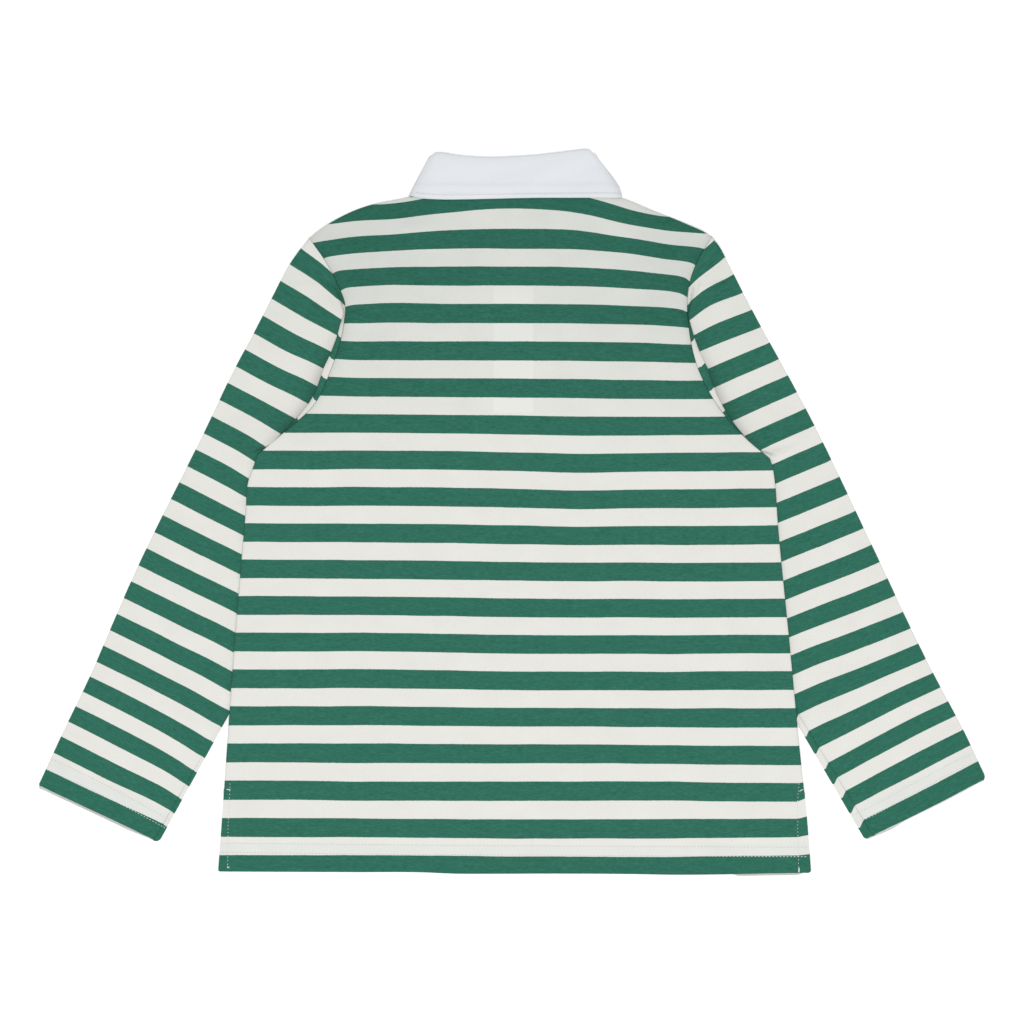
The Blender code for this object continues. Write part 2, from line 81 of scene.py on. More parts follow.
def curve(knots, values, at):
    """Cubic through the knots, whose slopes are the differences of their neighbours.

    values may hold one number per knot, or a row of numbers with one for each place in at.
    """
    knots = np.asarray(knots, float)
    at = np.clip(at, knots[0], knots[-1])
    values = np.asarray(values, float)
    if values.ndim == 1:
        values = np.broadcast_to(values[:, None], (len(knots), np.size(at)))
    shape = np.shape(at)
    at = np.ravel(at)
    slopes = np.gradient(values, knots, axis=0)
    index = np.clip(np.searchsorted(knots, at) - 1, 0, len(knots) - 2)
    place = np.arange(len(at))
    span = knots[index + 1] - knots[index]
    u = (at - knots[index]) / span
    low, high = values[index, place], values[index + 1, place]
    low_slope, high_slope = slopes[index, place] * span, slopes[index + 1, place] * span
    start = low * (1.0 + 2.0 * u) + low_slope * u
    end = high * (3.0 - 2.0 * u) - high_slope * (1.0 - u)
    return (start * (1.0 - u) ** 2 + end * u ** 2).reshape(shape)


def column(table, number, at):
    """Smooth curve through one column of a table whose first column holds the knots."""
    return curve(table[:, 0], table[:, number], at)


print(f"an S-shaped step is {ease(0.25):.2f} up at a quarter of its way")

# %% [markdown]
# ## The shirt's outlines
# The cloth is 1 mm thick and its layers lie just apart.  Short tables hold the shape of the
# laid-out shirt: where the armhole, side seam, shoulder and sleeve run on each side.  Columns
# give distances from the middle line, left then right, at a share of the way down.  Only the
# shoulder's give heights, from the neck corner out to the tip.

# %% Cloth, placket and neck
# Thickness of the cloth, air between two layers, one layer to the next, and a fold's radius
WALL = 1.0
GAP = 0.3
PITCH = WALL + GAP
FOLD = PITCH / 2.0
SEAM_GAP = 0.15

PLACKET_X = 1.0
PLACKET_WIDTH = 27.0
BUTTON_HEIGHT = 1.6
BUTTON_YS = (156.0, 121.0, 86.0)
SLOT_BOTTOM = 0.8

NECK_X = 2.0
NECK_HALF = 65.0
NECK_CORNER_Y = 222.5
BACK_NECK_Y = 221.5
FRONT_NECK_Y = 173.0
NECKLINE_POWER = 2.5
NECK_FLAT_MARGIN = 1.0
TOP_LINE_POWER = 1.5
print(f"layers lie {PITCH:.1f} mm apart, and the placket is {PLACKET_WIDTH:.0f} mm wide")

# %% Outline tables
# Each side has its sign along X, its column in the tables, the heights of its shoulder tip,
# armpit, hem and cuff, and two corners of its sleeve: the tucked one and the cuff's inner one
Side = namedtuple("Side", "name sign column tip_y armpit_y hem_y cuff_y tuck cuff_inner")
LEFT = Side("left", -1, 1, 191.5, 39.9, -251.5, -190.4, (-98.0, 42.7), (-249.2, -230.3))
RIGHT = Side("right", 1, 2, 192.5, 37.1, -252.7, -184.3, (95.2, 31.5), (248.9, -228.2))

ARMHOLE = np.array([
    (0.00, 141.8, 140.0),
    (0.10, 131.1, 130.4),
    (0.20, 122.9, 124.4),
    (0.30, 116.8, 122.5),
    (0.40, 117.6, 123.4),
    (0.60, 126.2, 130.5),
    (0.80, 142.4, 148.2),
    (0.90, 160.0, 162.0),
    (1.00, 177.8, 180.3),
])
SIDE_SEAM = np.array([
    (0.00, 177.8, 180.3),
    (0.02, 179.9, 182.2),
    (0.06, 184.2, 184.0),
    (0.14, 186.3, 185.6),
    (0.43, 193.6, 193.7),
    (0.70, 199.3, 201.2),
    (0.87, 202.8, 206.4),
    (1.00, 205.6, 209.3),
])
SHOULDER = np.array([
    (0.0, 222.5, 222.5),
    (0.2, 219.0, 218.2),
    (0.4, 216.0, 212.0),
    (0.6, 211.0, 206.3),
    (0.8, 202.9, 200.0),
    (0.9, 197.9, 196.8),
    (1.0, 191.5, 192.5),
])
SLEEVE_OUTER = np.array([
    (0.00, 143.0, 141.0),
    (0.02, 148.3, 145.7),
    (0.05, 156.2, 151.5),
    (0.10, 166.2, 160.9),
    (0.17, 179.9, 174.8),
    (0.25, 196.1, 191.5),
    (0.35, 214.3, 211.5),
    (0.44, 231.4, 228.1),
    (0.53, 248.6, 244.1),
    (0.62, 265.0, 260.2),
    (0.71, 280.0, 276.0),
    (0.80, 294.8, 292.6),
    (0.90, 313.1, 312.6),
    (1.00, 331.3, 332.2),
])

# The side vents open at this share of the way from armpit to hem
VENT_FALL = 0.80

# How much lower than straight the hem and the cuffs hang: place, then millimetres
HEM_SAG = np.array([
    (-210.0, 0.0), (-110.0, 0.1), (-60.0, 0.2), (-43.0, 0.9), (-12.0, 1.0), (20.0, 0.8),
    (83.0, 0.9), (114.0, 1.3), (146.0, 1.0), (177.0, 0.2), (210.0, -0.3),
])
CUFF_SAG = np.array([
    (0.00, 1.0, 2.9),
    (0.30, 0.7, 3.4),
    (0.60, 0.2, 2.5),
    (0.85, 0.0, 1.7),
    (1.00, 0.3, 0.2),
])
CUFF_SAG_FADE = 40.0
print(f"chest {ARMHOLE[-1, 1:].sum():.0f} mm across, "
      f"{LEFT.tip_y - LEFT.hem_y:.0f} mm from shoulder tip to hem")

# %% Points on the outlines


def armhole(side, drop):
    """Points of the armhole seam at shares of its drop from shoulder tip to armpit."""
    x = side.sign * column(ARMHOLE, side.column, drop)
    return np.stack((x, mix(side.tip_y, side.armpit_y, drop)), axis=-1)


def armhole_point(side, drop):
    """One point of the armhole seam."""
    return armhole(side, np.array([drop]))[0]


def body_edge(side, station):
    """Point of the body's edge: station 0 to 1 is the armhole, 1 to 2 the side seam."""
    fall = np.clip(station - 1.0, 0.0, 1.0)
    x = side.sign * column(SIDE_SEAM, side.column, fall)
    lower = np.stack((x, mix(side.armpit_y, side.hem_y, fall)), axis=-1)
    return np.where((station <= 1.0)[..., None], armhole(side, np.clip(station, 0, 1)), lower)


def clear_of_body(side, x, y):
    """How far outside the body's edge a point lies, measured along X."""
    drop = (side.tip_y - y) / (side.tip_y - side.armpit_y)
    fall = (side.armpit_y - y) / (side.armpit_y - side.hem_y)
    by_armhole = column(ARMHOLE, side.column, drop)
    by_side_seam = column(SIDE_SEAM, side.column, fall)
    return side.sign * x - np.where(drop < 1.0, by_armhole, by_side_seam)


def sleeve_outer(side, y):
    """Centre of the sleeve's outer fold at a height."""
    fall = (side.tip_y - y) / (side.tip_y - side.cuff_y)
    x = column(SLEEVE_OUTER, side.column, fall) - WALL / 2.0 - FOLD
    return np.stack((side.sign * x, y * np.ones_like(x)), axis=-1)


print("left armpit at", armhole_point(LEFT, 1.0), "and right armpit at", armhole_point(RIGHT, 1.0))

# %% [markdown]
# ## Rows of a panel
# Back and front are drawn as rows that start as the shoulder line and end as the hem.  A
# row's height on the floor plan is worked out for every column at once, so the neckline and
# the shoulders fade out softly further down.

# %% Top line and rows


def top_line(neck_y, x):
    """Height of a panel's top edge: shoulders outside the neck corners, neckline between.

    The neckline rises from its flat middle as the 2.5th power of the way to the corner.
    """
    out = np.abs(x - NECK_X)
    shoulders = []
    for side in (LEFT, RIGHT):
        tip = abs(armhole_point(side, 0.0)[0] - NECK_X)
        shoulders.append(column(SHOULDER, side.column, (out - NECK_HALF) / (tip - NECK_HALF)))
    shoulder = np.where(x < NECK_X, *shoulders)
    flat = PLACKET_WIDTH / 2.0 + NECK_FLAT_MARGIN
    share = np.clip((out - flat) / (NECK_HALF - flat), 0.0, 1.0)
    neckline = mix(neck_y, NECK_CORNER_Y, share ** NECKLINE_POWER)
    return np.where(out >= NECK_HALF, shoulder, neckline)


def row_heights(neck_y, stations, x):
    """Height on the sheet of every row of a panel.

    A row runs straight between its ends, plus what is left there of the top line's shape.
    That shape belongs to the column, and fades as (1 - station) to the power 1.5.
    """
    left, right = body_edge(LEFT, stations), body_edge(RIGHT, stations)
    share = (x - left[:, 0:1]) / (right[:, 0:1] - left[:, 0:1])
    line = mix(left[:, 1:2], right[:, 1:2], share)
    fade = np.clip(1.0 - stations, 0.0, 1.0)[:, None] ** TOP_LINE_POWER
    return line + (top_line(neck_y, x[0]) - line[0]) * fade


slot_stations = np.array([0.0, SLOT_BOTTOM])
placket_bottom = row_heights(FRONT_NECK_Y, slot_stations, np.full((2, 1), PLACKET_X))[1, 0]
print(f"the placket's slit is {FRONT_NECK_Y - placket_bottom:.1f} mm long")

# %% [markdown]
# ## How high each layer lies
# The front panel is at the bottom.  It climbs over whatever lies under it: the collar's
# leaves, the placket with its buttons and the tucked sides of the sleeves.  The back follows
# it one cloth higher, with a little air under it.  Soft ridges and the step of the turned-up
# hem are added to that air, never taken from it, so the layers stay apart.

# %% Height of the front
LEAF_CENTRE_Y = 205.0
LEAF_REACH = 88.0
SLEEVE_MARGIN = 10.0
PLACKET_MARGIN = 8.0
SLOPE = 30.0
PLACKET_SLOPE = 22.0


def level(layer):
    """Height of the middle of the wall in a layer, counted from 0 on the floor."""
    return WALL / 2.0 + layer * PITCH


UPPER_BAND_LEVEL = BUTTON_HEIGHT + GAP + WALL / 2.0
UNDER_BAND_LEVEL = UPPER_BAND_LEVEL + PITCH


def beyond_sleeve(side, x, y):
    """Distance from the part of a sleeve that lies under the body, negative inside it."""
    tuck = np.array(side.tuck)
    along_fold = np.array(side.cuff_inner) - tuck
    along_end = armhole_point(side, 0.0) - tuck
    distances = []
    for along, turn in ((along_fold, -side.sign), (along_end, side.sign)):
        away = turn * np.array((-along[1], along[0])) / np.hypot(*along)
        distances.append((x - tuck[0]) * away[0] + (y - tuck[1]) * away[1])
    return np.maximum(*distances)


def beyond_placket(x, y):
    """Distance from the placket's bands."""
    across = np.maximum(np.abs(x - PLACKET_X) - PLACKET_WIDTH / 2.0, 0.0)
    along = np.maximum(np.maximum(placket_bottom - y, y - FRONT_NECK_Y), 0.0)
    return np.hypot(across, along)


def climb(distance, margin, slope):
    """1 within a margin of something, easing to 0 over a slope."""
    return ease(1.0 - (distance - margin) / slope)


def front_level(x, y):
    """Mid-height of the front panel, which lies on the floor or on what is under it."""
    leaves = climb(np.hypot(x - NECK_X, y - LEAF_CENTRE_Y), LEAF_REACH, SLOPE)
    bands = climb(beyond_placket(x, y), PLACKET_MARGIN, PLACKET_SLOPE)
    rises = [PITCH * leaves, (UPPER_BAND_LEVEL - level(0)) * bands]
    for side in (LEFT, RIGHT):
        rises.append(2.0 * PITCH * climb(beyond_sleeve(side, x, y), SLEEVE_MARGIN, SLOPE))
    return level(0) + np.max(rises, axis=0)


print(f"front in the middle lies {front_level(np.zeros(1), np.zeros(1))[0]:.1f} mm up")

# %% Height of the back
# Soft folds of the back: start x, y, end x, y, half width and height of each ridge
BACK_FOLDS = np.array([
    (110.0, 34.0, 133.0, -25.0, 7.0, 0.9),
    (133.0, -25.0, 146.0, -100.0, 9.0, 0.8),
    (-118.5, 152.0, -113.0, 112.0, 2.5, 0.7),
    (-140.0, 190.0, -96.0, 186.0, 4.0, 0.7),
    (-136.0, 186.0, -70.0, 168.0, 5.0, 0.6),
    (-104.0, 205.0, -60.0, 199.0, 4.0, 0.5),
    (60.0, 213.0, 112.0, 200.0, 4.0, 0.6),
    (112.0, 176.0, 127.0, 160.0, 3.0, 0.7),
    (106.0, 155.0, 118.0, 138.0, 3.0, 0.6),
    (-172.0, -60.0, -110.0, -132.0, 14.0, 0.6),
    (60.0, -120.0, 150.0, -190.0, 15.0, 0.5),
    (-60.0, 90.0, -112.0, -10.0, 16.0, 0.5),
    (-20.0, 40.0, 40.0, -70.0, 18.0, 0.4),
    (-150.0, -160.0, -60.0, -200.0, 12.0, 0.4),
    (-186.0, -150.0, -183.0, -240.0, 2.2, 0.35),
])
RIDGE_END = 2.5

# Air under the back, how far in from the edges it is full, and how it varies with the waver
AIR = 0.8
AIR_EDGE = 30.0
AIR_LEAST = 0.7
AIR_VARIES = 0.5
FOLDS_EDGE = 6.0

# The turned-up hem: where it begins, how much thicker it is and the length of the step
HEM_TOP = -232.0
HEM_STEP = 0.4
HEM_STEP_SLOPE = 2.5


def ridges(x, y, folds):
    """Sum of soft ridges: height * exp(-(d / width)^2), with d the distance from a line.

    Past the line's ends a ridge runs out over RIDGE_END times its width.
    """
    total = np.zeros(np.shape(x))
    for start_x, start_y, end_x, end_y, width, height in folds:
        run = np.array((end_x - start_x, end_y - start_y))
        length = np.hypot(*run)
        along = ((x - start_x) * run[0] + (y - start_y) * run[1]) / length
        off = ((x - start_x) * run[1] - (y - start_y) * run[0]) / length
        past = along - np.clip(along, 0.0, length)
        total += height * np.exp(-(off / width) ** 2 - (past / (RIDGE_END * width)) ** 2)
    return total


def waver(x, y):
    """Uneven lie of pressed cloth, from 0 to 1: two crossed waves whose own phase drifts."""
    first = np.sin(x / 19.0 + 1.7 * np.sin(y / 41.0) + y / 67.0)
    second = np.sin(y / 16.0 + 1.9 * np.sin(x / 53.0) - x / 71.0)
    return 0.5 + 0.25 * (first + second)


def inside_body(x, y):
    """Distance of a point inside the body from its nearest side, armhole or shoulder."""
    sides = np.minimum(-clear_of_body(LEFT, x, y), -clear_of_body(RIGHT, x, y))
    return np.maximum(np.minimum(sides, top_line(BACK_NECK_Y, x) - y), 0.0)


def back_level(x, y):
    """Mid-height of the back: a layer above front and placket, plus air, folds and hem."""
    bands = climb(beyond_placket(x, y), PLACKET_MARGIN, PLACKET_SLOPE)
    over_bands = level(1) + (UNDER_BAND_LEVEL + PITCH - level(1)) * bands
    flat = np.maximum(front_level(x, y) + PITCH, over_bands)
    inside = inside_body(x, y)
    air = AIR * ease(inside / AIR_EDGE) * (AIR_LEAST + AIR_VARIES * waver(x, y))
    folds = ease(inside / FOLDS_EDGE) * ridges(x, y, BACK_FOLDS)
    return flat + air + folds + HEM_STEP * ease((HEM_TOP - y) / HEM_STEP_SLOPE)


print(f"back in the middle lies {back_level(np.zeros(1), np.zeros(1))[0]:.1f} mm up")

# %% [markdown]
# ## Where the stripes run
# The jersey is knitted in even stripes, green and off-white, one repeat of 25.8 mm.  On the
# body they sag towards the shoulders, where the cloth falls away, and waver a little lower
# down.  A table says how far each of a few stripes hangs below its even place.  A sleeve's
# stripes cross it, so for a sleeve the table gives places along the sleeve instead, at
# several distances in from its outer fold.

# %% Stripes of the body
REPEAT = 25.8
FIRST_STRIPE_Y = 191.15
GREEN_SHARE = 0.514

# How much lower than even each stripe hangs: its number, then one value for each X
SAG_X = (-175.0, -133.0, -112.0, -84.0, -56.0, 0.0, 56.0, 84.0, 112.0, 133.0, 189.0)
SAG = np.array([
    (-2, 21.0, 17.0, 14.5, 11.5, 5.5, -4.2, 6.3, 15.4, 23.8, 26.6, 31.5),
    (-1, 15.4, 11.2, 8.2, 6.7, 2.8, -2.6, 3.7, 11.3, 15.7, 17.5, 21.0),
    (0, 9.8, 7.5, 4.7, 2.8, 1.0, 0.4, 1.8, 5.0, 9.6, 11.4, 14.0),
    (1, 3.5, 2.4, 1.7, 0.3, 0.4, 0.4, 1.2, 2.9, 5.3, 8.0, 9.0),
    (3, -0.3, -0.3, 1.0, 1.0, 1.1, 1.2, 1.5, 1.8, 2.8, 3.2, 3.5),
    (4, 0.0, 0.0, 0.6, 0.8, 1.0, 1.3, 1.8, 2.3, 2.6, 2.6, 2.4),
    (6, 0.0, 0.1, -0.2, 0.0, 0.1, 1.1, 2.3, 1.8, 1.5, 1.4, 0.7),
    (9, -1.3, -1.1, -0.9, -0.7, -0.4, 0.4, 0.9, 0.7, 1.0, 1.0, 0.7),
    (12, -1.8, -1.8, -2.0, -1.7, -1.3, -0.4, -0.3, -0.3, -0.1, -0.5, -0.6),
    (14, -1.6, -1.5, -1.3, -1.4, -1.1, -0.9, -0.9, -0.6, -0.4, 0.0, 0.2),
    (15, -1.3, -1.0, -0.5, -0.6, -0.6, -0.6, -0.7, -0.8, -0.8, -0.2, 0.3),
    (16, -1.0, -0.8, -0.9, -0.5, -0.3, 0.2, 0.0, 0.1, -0.1, -0.3, -0.7),
    (17, -0.9, -0.9, -0.9, -0.7, -0.7, 0.0, 0.2, 0.4, 0.6, 0.1, -0.5),
    (18, -1.0, -1.0, -1.0, -0.8, -0.6, 0.0, 0.2, 0.4, 0.6, 0.1, -0.5),
])

# Beside the right vent the turned edge lifts the stripes: height, then rise per millimetre out
VENT_LINE_X = 200.0
VENT_TURN = np.array([(-260.0, 0.0), (-243.0, 0.08), (-228.0, 0.2), (-214.0, 0.24), (-200.0, 0.5),
                      (-193.0, 0.3), (-186.0, 0.0)])

# Beside each armhole the body's edge curls, and its stripes with it: height, then how much
# lower they hang at the left and at the right edge
EDGE_CURL = np.array([
    (195.0, 0.0, 0.0), (184.0, 0.8, 1.0), (172.0, 1.8, 2.4), (160.0, 3.0, 3.6),
    (150.0, 3.0, 3.2), (140.0, 1.6, 1.8), (126.0, 0.0, 0.0),
])
CURL_REACH = 3.5


def body_count(x, y):
    """Stripe repeats down the body: whole numbers lie on the middle of a green stripe."""
    shape = np.shape(x)
    x, y = np.ravel(x), np.ravel(y)
    y = y - np.maximum(x - VENT_LINE_X, 0.0) * np.interp(y, VENT_TURN[:, 0], VENT_TURN[:, 1])
    for side in (LEFT, RIGHT):
        inside = np.maximum(-clear_of_body(side, x, y), 0.0)
        curl = np.interp(-y, -EDGE_CURL[:, 0], EDGE_CURL[:, side.column])
        y = y + curl * np.exp(-inside / CURL_REACH)
    numbers = SAG[:, 0]
    counts = []
    for sag in SAG[:, 1:].T:
        counts.append(curve(REPEAT * numbers + sag - FIRST_STRIPE_Y, numbers, -y))
    return curve(SAG_X, np.array(counts), x).reshape(shape)


hem_middle = body_count(np.zeros(1), np.full(1, LEFT.hem_y))[0]
print(f"{hem_middle:.1f} stripe repeats from the neck's first green stripe to the hem")

# %% Stripes of the sleeves
# Where distances along a sleeve count from, the direction down it, distances in from its
# outer fold, then a stripe's number and its place along the sleeve at each distance
SleeveStripes = namedtuple("SleeveStripes", "origin along inward places")
LEFT_STRIPES = SleeveStripes(
    (-177.8, 126.7), (-0.4296, -0.9030), (0.0, 26.6, 44.8, 62.3, 78.4, 89.2), np.array([
        (-1, -86.0, -75.5, -67.0, -60.0, -56.0, -52.0),
        (0, -58.9, -53.9, -48.0, -44.0, -41.0, -39.0),
        (1, -31.4, -28.9, -27.3, -25.5, -24.5, -23.5),
        (2, -4.1, -2.3, -2.6, -2.0, -1.5, -1.0),
        (3, 22.3, 23.7, 23.5, 24.5, 25.0, 25.5),
        (5, 74.4, 75.6, 77.9, 78.5, 79.0, 79.5),
        (7, 125.7, 126.6, 127.0, 127.6, 128.4, 129.0),
        (10, 202.7, 203.0, 203.3, 203.3, 203.8, 204.5),
        (12, 251.4, 251.6, 252.3, 252.7, 253.8, 254.6),
        (14, 297.8, 298.3, 298.8, 299.6, 300.8, 302.5),
        (15, 321.5, 322.0, 322.5, 322.3, 322.6, 323.8),
        (16, 347.1, 347.1, 346.8, 346.3, 346.1, 345.8),
        (17, 373.0, 373.0, 373.0, 373.0, 373.0, 373.0),
    ]))
RIGHT_STRIPES = SleeveStripes(
    (172.9, 128.1), (0.4432, -0.8964), (0.0, 28.0, 46.2, 64.4, 81.2, 92.4), np.array([
        (-1, -90.0, -82.0, -70.0, -62.0, -58.0, -54.0),
        (0, -62.6, -54.3, -46.0, -40.0, -37.0, -35.0),
        (1, -35.0, -35.1, -30.5, -27.0, -25.0, -24.0),
        (2, -7.4, -9.8, -10.5, -11.0, -11.5, -12.0),
        (3, 18.3, 16.9, 16.1, 15.0, 14.0, 13.0),
        (5, 71.0, 69.7, 69.0, 67.5, 66.0, 65.0),
        (7, 124.2, 122.3, 121.0, 119.7, 118.3, 117.3),
        (10, 202.8, 200.7, 198.9, 197.4, 195.9, 194.7),
        (11, 228.4, 226.0, 224.2, 222.2, 221.2, 220.5),
        (12, 252.7, 250.9, 249.9, 248.2, 247.2, 246.9),
        (13, 275.3, 274.4, 274.5, 274.5, 274.3, 274.4),
        (14, 297.8, 297.4, 297.9, 298.6, 299.3, 299.7),
        (15, 320.5, 320.7, 321.2, 321.5, 322.2, 322.6),
        (16, 345.6, 346.3, 346.6, 346.5, 346.4, 346.5),
        (17, 372.0, 372.0, 372.0, 372.0, 372.0, 372.0),
    ]))

# The crescent of cloth beside each armhole: stripe number, then its height at the seam and
# at the fold
LEFT_CRESCENT = np.array([
    (0.25, 146.3, 149.0), (0.75, 121.5, 131.0), (1.25, 106.4, 117.0), (1.75, 92.5, 103.5),
    (2.25, 77.8, 89.5), (2.75, 64.0, 73.0), (3.25, 51.0, 56.0), (3.75, 36.0, 38.0),
])
RIGHT_CRESCENT = np.array([
    (0.25, 160.0, 158.0), (0.75, 142.8, 142.4), (1.25, 119.0, 130.0), (1.75, 100.5, 112.0),
    (2.25, 84.5, 95.5), (2.75, 69.5, 79.0), (3.25, 53.5, 60.0), (3.75, 45.0, 47.0),
])


def sleeve_count(stripes, x, y):
    """Stripe repeats down a sleeve at a place on the floor plan."""
    shape = np.shape(x)
    along, places = stripes.along, stripes.places
    x, y = np.ravel(x) - stripes.origin[0], np.ravel(y) - stripes.origin[1]
    down = x * along[0] + y * along[1]
    across = math.copysign(1.0, along[0]) * (x * along[1] - y * along[0])
    counts = [curve(row, places[:, 0], down) for row in places[:, 1:].T]
    return curve(stripes.inward, np.array(counts), across).reshape(shape)


print(f"tables place {len(LEFT_STRIPES.places)} stripes of the left sleeve")

# %% [markdown]
# ## From a grid of points to cloth
# Every cloth is one grid of points through the middle of its wall.  A helper turns the grid
# into faces, writes the cloth's own map, and lets Solidify give it the wall.  The map's first
# number is metres across the cloth and the second is stripe repeats down it.  Where a fold
# brings two different places in the stripes together, the count jumps between two rows.

# %% Cloth from a grid
COUNT_JUMP = 0.4


def in_scene(name, data):
    """Put a mesh, light or camera in the scene."""
    thing = bpy.data.objects.new(name, data)
    bpy.context.scene.collection.objects.link(thing)
    return thing


def new_piece(name, mesh, material):
    """Put a mesh in the scene as a piece that rides with the shirt."""
    mesh.materials.append(material)
    piece = in_scene(name, mesh)
    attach(piece, "root")
    return piece


def cloth(name, points, cut_map, material, keep=None, closed_from=None, shade=None):
    """Cloth wall through a grid of points.  From row closed_from down the grid is a ring.

    shade says how much painted shade each point gets, from 0 to 1.  Where the count of stripes
    jumps between two rows, a face takes its upper row's map.
    """
    rows, columns = points.shape[:2]
    places = np.arange(rows * columns).reshape(rows, columns)
    numbers = places.copy()
    if closed_from is not None:
        numbers[closed_from:, -1] = numbers[closed_from:, 0]
    row, col = np.nonzero(np.ones((rows - 1, columns - 1), bool) if keep is None else keep)
    corners = [(row, col), (row, col + 1), (row + 1, col + 1), (row + 1, col)]
    map_places = np.stack([places[corner] for corner in corners], axis=1)
    counts = cut_map.reshape(-1, 2)[map_places, 1]
    jump = np.ptp(counts, axis=1) > COUNT_JUMP
    map_places[jump, 2:] = map_places[jump, 1::-1]
    used, faces = np.unique(np.stack([numbers[corner] for corner in corners], axis=1),
                            return_inverse=True)
    faces = faces.reshape(-1, 4)
    mesh = bpy.data.meshes.new(name)
    mesh.from_pydata((points.reshape(-1, 3)[used] * MM).tolist(), [], faces.tolist())
    # The second map carries painted shade: how much each point's colour is darkened
    depth = np.zeros((rows, columns)) if shade is None else shade
    maps = {"cut": cut_map, "painted_shade": np.stack((depth, np.zeros(depth.shape)), axis=2)}
    for map_name, values in maps.items():
        layer = mesh.uv_layers.new(name=map_name)
        layer.data.foreach_set("uv", values.reshape(-1, 2)[map_places.ravel()].ravel())
    mesh.polygons.foreach_set("use_smooth", np.ones(len(faces), bool))
    piece = new_piece(name, mesh, material)
    thickness = piece.modifiers.new("wall", "SOLIDIFY")
    thickness.thickness = WALL * MM
    thickness.offset = 0.0
    return piece


def across_map(points):
    """Metres along each row of a grid, from its first point."""
    steps = np.linalg.norm(np.diff(points, axis=1), axis=2) * MM
    return np.concatenate((np.zeros((len(points), 1)), np.cumsum(steps, axis=1)), axis=1)


def report(piece):
    """Print the piece's size and triangles, walls included."""
    evaluated = piece.evaluated_get(bpy.context.evaluated_depsgraph_get())
    mesh = evaluated.to_mesh()
    triangles = sum(len(face.vertices) - 2 for face in mesh.polygons)
    area = sum(face.area for face in mesh.polygons) / 2.0
    print(f"{piece.name}: {triangles} triangles, {area:.4f} square metres")
    evaluated.to_mesh_clear()


# %% [markdown]
# ## Shader maths
# A small class wraps a socket so that a formula for a pattern reads as a formula.  Each
# operator adds one Math node.

# %% Node helpers


class Value:
    """A number that varies over a surface, with arithmetic that adds Math nodes."""

    def __init__(self, graph, socket):
        self.graph = graph
        self.socket = socket

    def _math(self, operation, *others):
        return Value(self.graph, self.graph.node("ShaderNodeMath", {"operation": operation},
                                                 dict(enumerate((self, *others)))))

    def __add__(self, other):
        return self._math("ADD", other)

    __radd__ = __add__

    def __sub__(self, other):
        return self._math("SUBTRACT", other)

    def __rsub__(self, other):
        return (self * -1.0) + other

    def __mul__(self, other):
        return self._math("MULTIPLY", other)

    __rmul__ = __mul__

    def fraction(self):
        return self._math("FRACT")

    def size(self):
        return self._math("ABSOLUTE")

    def sine(self):
        return self._math("SINE")

    def step(self, low, high):
        """0 below low and 1 above high, with an S-shaped step between."""
        return Value(self.graph, self.graph.node(
            "ShaderNodeMapRange", {"interpolation_type": "SMOOTHSTEP"},
            {"Value": self, "From Min": low, "From Max": high, "To Min": 0.0, "To Max": 1.0}))


class Graph:
    """A material's nodes."""

    def __init__(self, name):
        self.material = bpy.data.materials.new(name)
        self.material.use_nodes = True
        self.tree = self.material.node_tree
        self.shader = self.tree.nodes["Principled BSDF"]

    def node(self, kind, settings, inputs, output=0):
        """Add a node: its settings first, then the values or links of its sockets."""
        node = self.tree.nodes.new(kind)
        for name, value in settings.items():
            setattr(node, name, value)
        for name, value in inputs.items():
            self.feed(node.inputs[name], value)
        return node.outputs[output]

    def feed(self, socket, value):
        """Link a socket or a Value to a socket, or set a plain value on it."""
        if isinstance(value, Value):
            value = value.socket
        if isinstance(value, bpy.types.NodeSocket):
            self.tree.links.new(value, socket)
        else:
            socket.default_value = value

    def blend(self, share, low, high, kind="MIX"):
        """Mix two colours by a share."""
        return self.node("ShaderNodeMix",
                         {"data_type": "RGBA", "clamp_factor": True, "blend_type": kind},
                         {0: share, 6: low, 7: high}, 2)

    def noise(self, vector, x, y, detail=2.0, roughness=0.5):
        """Noise whose features are 1/x by 1/y of the vector's units."""
        stretched = self.node("ShaderNodeVectorMath", {"operation": "MULTIPLY"},
                              {0: vector, 1: (x, y, x)})
        return Value(self, self.node("ShaderNodeTexNoise", {}, {
            "Vector": stretched, "Scale": 1.0, "Detail": detail, "Roughness": roughness}))

    def axes(self, vector):
        """The vector's three numbers."""
        split = self.tree.nodes.new("ShaderNodeSeparateXYZ")
        self.feed(split.inputs[0], vector)
        return [Value(self, output) for output in split.outputs]

    def cut(self, name="cut"):
        """The cloth's own map."""
        return self.node("ShaderNodeUVMap", {"uv_map": name}, {})

    def place(self):
        """Metres in the shirt's frame."""
        return self.node("ShaderNodeTexCoord", {}, {}, 3)

    def finish(self, colour, roughness, height=None, depth=0.0001):
        """Connect the shader: colour, roughness and a bump of that many metres."""
        self.feed(self.shader.inputs["Base Color"], colour)
        self.feed(self.shader.inputs["Roughness"], roughness)
        if height is not None:
            bump = self.node("ShaderNodeBump", {},
                             {"Strength": 1.0, "Distance": depth, "Height": height})
            self.feed(self.shader.inputs["Normal"], bump)
        return self.material
